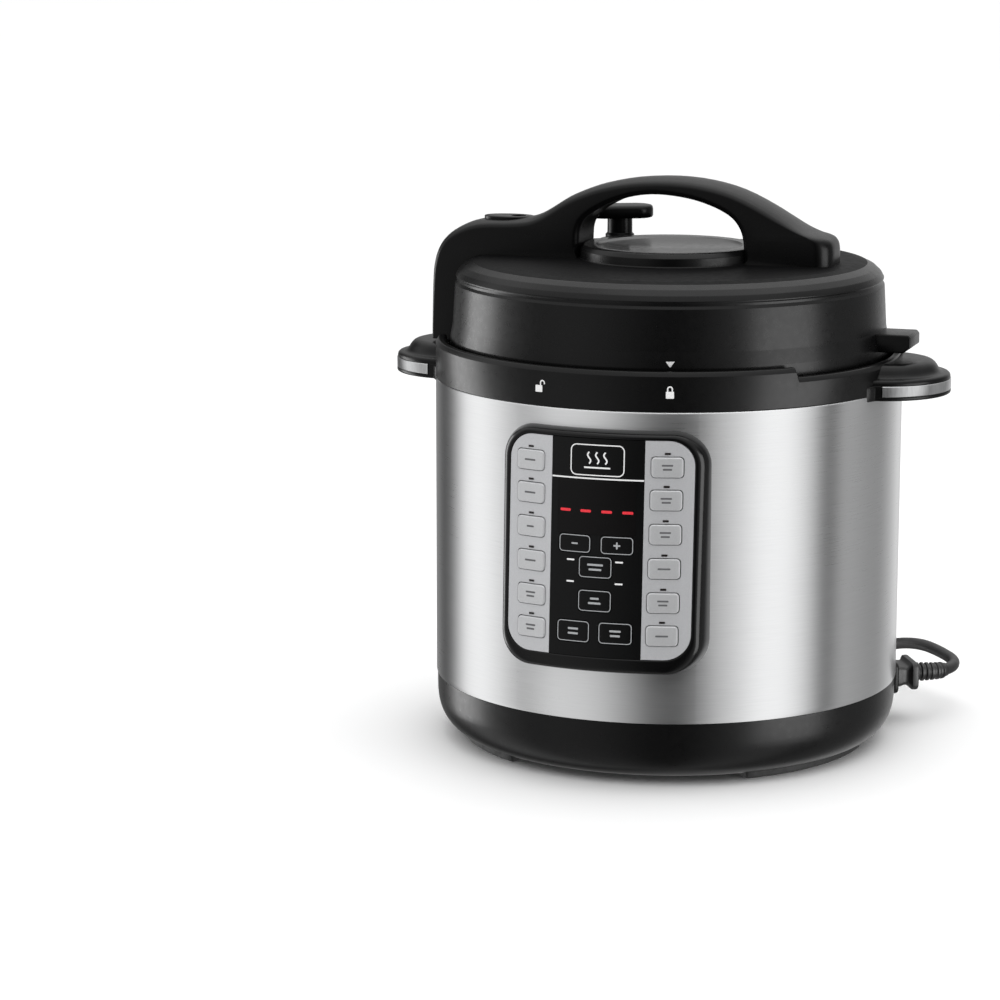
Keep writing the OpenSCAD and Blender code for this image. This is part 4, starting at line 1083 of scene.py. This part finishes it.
# steam valve: stem and long cap
V = (-49.0, 65.0)
lathe("steam_valve_stem", fillet([(4.1, 279.3, .1), (8.6, 279.3, .5), (8.6, 281.4, .6), (7.5, 282.4, .6), (7.4, 292, .3), (4.1, 292, 0)], 4), M["black_handle"], "valve_body", ["steam_valve_knob"], n=48, at=V)
def capsule(hl, hw, z, ang=25.0, cx=V[0], cy=V[1], n_=16):
    pts = []
    r = hw
    for sx, a0 in ((1, -90), (-1, 90)):
        for k in range(n_ + 1):
            a = rad(a0 + 180 * k / n_)
            pts.append((sx * (hl - r) + r * cos(a), r * sin(a)))
    c_, s_ = cos(rad(ang)), sin(rad(ang))
    return [(cx + x * c_ - y * s_, cy + x * s_ + y * c_, z) for x, y in pts]


loft("steam_valve_cap", [capsule(18.4, 9.4, 291.4), capsule(19.4, 10.4, 291.7), capsule(20, 11, 292.5), capsule(20, 11, 296.6), capsule(19.7, 10.7, 297.9), capsule(18.9, 9.9, 298.7), capsule(17.6, 8.6, 299.0), capsule(12, 4, 299.1)],
     M["black_handle"], "valve_body", ["steam_valve_knob"])
lathe("lid_valve_boss", fillet([(5.2, 275, 0), (12.8, 275.6, .3), (12.4, 278.2, .8), (11.2, 278.8, .4), (5.2, 278.8, .3)], 4), M["black_lid"], "lid_body", ["lid_cover"], n=64, at=V)

# printed marks: padlocks on the collar, triangle on the lid
def on_cyl(R, a0):
    def f(x, z, d):
        a = rad(-90 + a0) + x / R
        return ((R + d) * cos(a), (R + d) * sin(a), z)
    return f


def padlock(cx, cz, open_):
    body_ = bar_pts(4.4, 3.8, cx, cz - 1.0, 0.35)
    sh = []
    r = 1.25
    dx = 2.3 if open_ else 0.0
    pts = [(cx - r + dx, cz + (0.4 if open_ else 0.7))] if not open_ else [(cx - r + dx, cz + 0.7)]
    for k in range(13):
        a = rad(180 - 180 * k / 12)
        pts.append((cx + dx + r * cos(a), cz + 2.3 + r * sin(a)))
    pts.append((cx + dx + r, cz + (1.6 if open_ else 0.7)))
    return [body_, stroke(pts, 0.7)]


flat_group("lock_mark_closed", padlock(0, 218.6, False), -0.02, 0.06, "white", "base", mapf=on_cyl(135.0, 15.9))
flat_group("lock_mark_open", padlock(0, 218.6, True), -0.02, 0.06, "white", "base", mapf=on_cyl(135.0, -16.1))
flat_group("lid_mark", [[(-2.4, 234.6), (2.4, 234.6), (0, 231.2)]], -0.02, 0.06, "white", "lid_body", mapf=on_cyl(126.45, 15.9))

# ------------------------------------------------------------------ inner parts
pot = [(0, 57.4, 0), (101, 57.4, 6), (108.5, 58.8, 4), (111.2, 66, 6), (111.2, 208.4, .5), (115.9, 208.5, .5), (116.4, 210.2, 1), (115.7, 212, 1), (111.6, 212, 1.2), (110.2, 210.2, 1), (110, 67, 6), (107.4, 61, 4), (101, 59.4, 6), (0, 59.4, 0)]
pp_ = fillet(pot, 5)
inner_edge = lambda a, b_: (a[0] + b_[0]) / 2 < 110.6 and (a[1] + b_[1]) / 2 > 59.2 and not ((a[1] + b_[1]) / 2 < 59.3)
def is_inner(a, b_):
    r, z = (a[0] + b_[0]) / 2, (a[1] + b_[1]) / 2
    if z > 209.6:
        return r < 111.0
    if z > 67:
        return r < 110.6
    if r > 111.0:
        return False
    outer = pp_.index(a) < len(pp_) * 0.45
    return not outer
lathe("inner_pot_vessel", pp_, M["pot"], "pot_body", ["inner_pot"], n=192, mat2=M["nonstick"], pick2=is_inner)
seal = [(107.4, 214.2, .6), (109, 212.5, .8), (115.4, 212.5, .8), (116.6, 214.2, .6), (116.6, 221, .5), (113.8, 221, .5), (113.6, 216.2, .8), (112, 215.4, .6), (110.4, 216.2, .8), (110.2, 221, .5), (107.4, 221, .5)]
lathe("sealing_ring_band", fillet(seal, 4), M["silicone"], "seal_body", ["sealing_ring"], n=160)

cup_out = []
carry("condensation_collector", "clear", 0.5, 3, 50)
carry("bottom_plate", "black", 0.3, 2)
carry("base_screws", "screw", 0.12, 2)
carry("outer_pot", "plate", 0.3, 2)
carry("heating_plate", "cast", 0.5, 2)
# the coil spring under the sensor, built at one length, with its own copy of the mesh
turns_, per_ = 5.5, 28
coil_ = []
for i in range(int(turns_ * per_) + 1):
    q_ = i / per_
    a_ = 2 * pi * q_
    z_ = 36.65 + 10.45 * min(1.0, max(0.0, (q_ - 0.8) / (turns_ - 1.6)))
    coil_.append([((7.0 + 0.55 * cos(b_)) * cos(a_), (7.0 + 0.55 * cos(b_)) * sin(a_), z_ + 0.55 * sin(b_)) for b_ in [2 * pi * k / 10 for k in range(10)]])
spring_ = loft("sensor_spring_coil", coil_, M["screw"], "base", ["sensor_spring"])
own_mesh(spring_)
carry("temperature_sensor", "cast", 0.5, 3)
carry("power_board", "board", 0.3, 1)
carry("pressure_switch", "screw", 0.3, 1)
carry("wiring", "wire", 0.0)
carry("lid_plate", "plate", 0.25, 2)
carry("ring_rack", "screw", 0.0)
carry("anti_block_shield", "plate", 0.15, 2)
carry("valve_pipe", "screw", 0.15, 2)
carry("lid_screws", "screw", 0.12, 2)
carry("float_valve", "screw", 0.3, 3)
carry("float_seal", "silicone_red", 0.2, 2)
carry("interlock_pin", "screw", 0.2, 2)
carry("interlock_spring", "screw", 0.1, 1)

# ------------------------------------------------------------------ stage and light
fm, nt, b = new_mat("floor_pale")
v = tex_coord(nt)
nt.links.new(ramp2(nt, noise(nt, v, 3.0, 3), (0.94, 0.94, 0.94), (0.95, 0.95, 0.95)), b.inputs["Base Color"])
b.inputs["Roughness"].default_value = 0.6
b.inputs["Specular IOR Level"].default_value = 0.2
fme = bpy.data.meshes.new("floor")
S_ = 40.0
fme.from_pydata([(-S_, -S_, 0), (S_, -S_, 0), (S_, S_, 0), (-S_, S_, 0)], [], [(0, 1, 2, 3)])
fme.materials.append(fm)
floor = bpy.data.objects.new("floor", fme)
scene.collection.objects.link(floor)
floor.visible_glossy = False

w = bpy.data.worlds.new("studio")
scene.world = w
w.use_nodes = True
nt = w.node_tree
bg = next(n_ for n_ in nt.nodes if n_.type == "BACKGROUND")
tc = nt.nodes.new("ShaderNodeTexCoord")
sep = nt.nodes.new("ShaderNodeSeparateXYZ")
nt.links.new(tc.outputs["Generated"], sep.inputs[0])
at2 = nt.nodes.new("ShaderNodeMath")
at2.operation = "ARCTAN2"
nt.links.new(sep.outputs["Y"], at2.inputs[0])
nt.links.new(sep.outputs["X"], at2.inputs[1])
mr = nt.nodes.new("ShaderNodeMapRange")
mr.inputs["From Min"].default_value = -pi
mr.inputs["From Max"].default_value = pi
nt.links.new(at2.outputs[0], mr.inputs["Value"])
rp = nt.nodes.new("ShaderNodeValToRGB")
nt.links.new(mr.outputs["Result"], rp.inputs["Fac"])
rp.color_ramp.interpolation = "LINEAR"
# brightness of the surround by compass direction, degrees from +X towards +Y
SKY_REL = [(-165, .3), (-145, .06), (-134, .12), (-125, .55), (-117, 1.12), (-104, 1.15), (-96, 1.0), (-87, .76), (-76, .42), (-57, .78), (-42, .72), (-31, .6), (-19, .34), (-7, .10), (5, .05),
           (14, .11), (23, .47), (36, .76), (47, 1.12), (60, 1.18), (69, .95), (76, .62), (82, .12), (88, .08), (95, .44), (115, .33), (130, .28), (145, .55), (158, .8)]
SKY = sorted(((a - 74.5 + 180) % 360 - 180, v_) for a, v_ in SKY_REL)
(a0, v0), (a1, v1) = SKY[-1], SKY[0]
seam = v0 + (v1 - v0) * (180 - a0) / (180 - a0 + a1 + 180)
SKY = [(-180, seam)] + SKY + [(180, seam)]
TOPV = 1.2
el = rp.color_ramp.elements
el[0].position, el[0].color = 0.0, (SKY[0][1] / TOPV,) * 3 + (1,)
el[1].position, el[1].color = 1.0, (SKY[-1][1] / TOPV,) * 3 + (1,)
for a, v_ in SKY[1:-1]:
    e_ = el.new((a + 180) / 360)
    e_.color = (v_ / TOPV,) * 3 + (1,)
up = nt.nodes.new("ShaderNodeMapRange")
up.interpolation_type = "SMOOTHSTEP"
up.inputs["From Min"].default_value = 0.3
up.inputs["From Max"].default_value = 0.75
nt.links.new(sep.outputs["Z"], up.inputs["Value"])
mxn = nt.nodes.new("ShaderNodeMix")
mxn.data_type = "RGBA"
nt.links.new(up.outputs["Result"], mxn.inputs["Factor"])
cin = [i_ for i_ in mxn.inputs if i_.type == "RGBA"]
cout = [o_ for o_ in mxn.outputs if o_.type == "RGBA"][0]
nt.links.new(rp.outputs["Color"], cin[0])
cin[1].default_value = (1.13, 1.13, 1.13, 1)
nt.links.new(cout, bg.inputs["Color"])
bg.inputs["Strength"].default_value = 1.2


def area(name, loc, target, size, power, col=(1, 1, 1), spread=180):
    l_ = bpy.data.lights.new(name, "AREA")
    l_.shape = "RECTANGLE"
    l_.size, l_.size_y = size
    l_.energy = power
    l_.color = col
    l_.spread = rad(spread)
    o_ = bpy.data.objects.new(name, l_)
    scene.collection.objects.link(o_)
    o_.location = loc
    o_.rotation_mode = "QUATERNION"
    o_.rotation_quaternion = (Vector(target) - Vector(loc)).to_track_quat("-Z", "Y")
    return o_


area("top_box", (0.2, 0.1, 1.7), (0, 0, 0.2), (1.6, 1.6), 8)
dark = bpy.data.collections.new("black_mouldings")
black_mats = {M[k_] for k_ in ("black", "black_lid", "black_handle", "gloss", "lid_top", "rubber", "cord", "connector")}
for o_ in scene.objects:
    if o_.type in ("MESH", "CURVE") and o_.data.materials and o_.data.materials[0] in black_mats:
        dark.objects.link(o_)
for nm_, az_, dist_, wid_, rad_ in (("edge_light_left", -110, 0.75, 0.34, 4.7), ("edge_light_right", 59, 0.75, 0.48, 4.8)):
    a_ = rad(-74.5 + az_)
    hgt_ = 0.62
    l_ = area(nm_, (dist_ * cos(a_), dist_ * sin(a_), 0.06), (0, 0, 0.06), (wid_, hgt_), rad_ * pi * wid_ * hgt_)
    l_.visible_camera = False
    l_.visible_diffuse = False
    l_.light_linking.receiver_collection = dark
floor.visible_shadow = False
scene.view_settings.view_transform = "Standard"
scene.view_settings.look = "None"
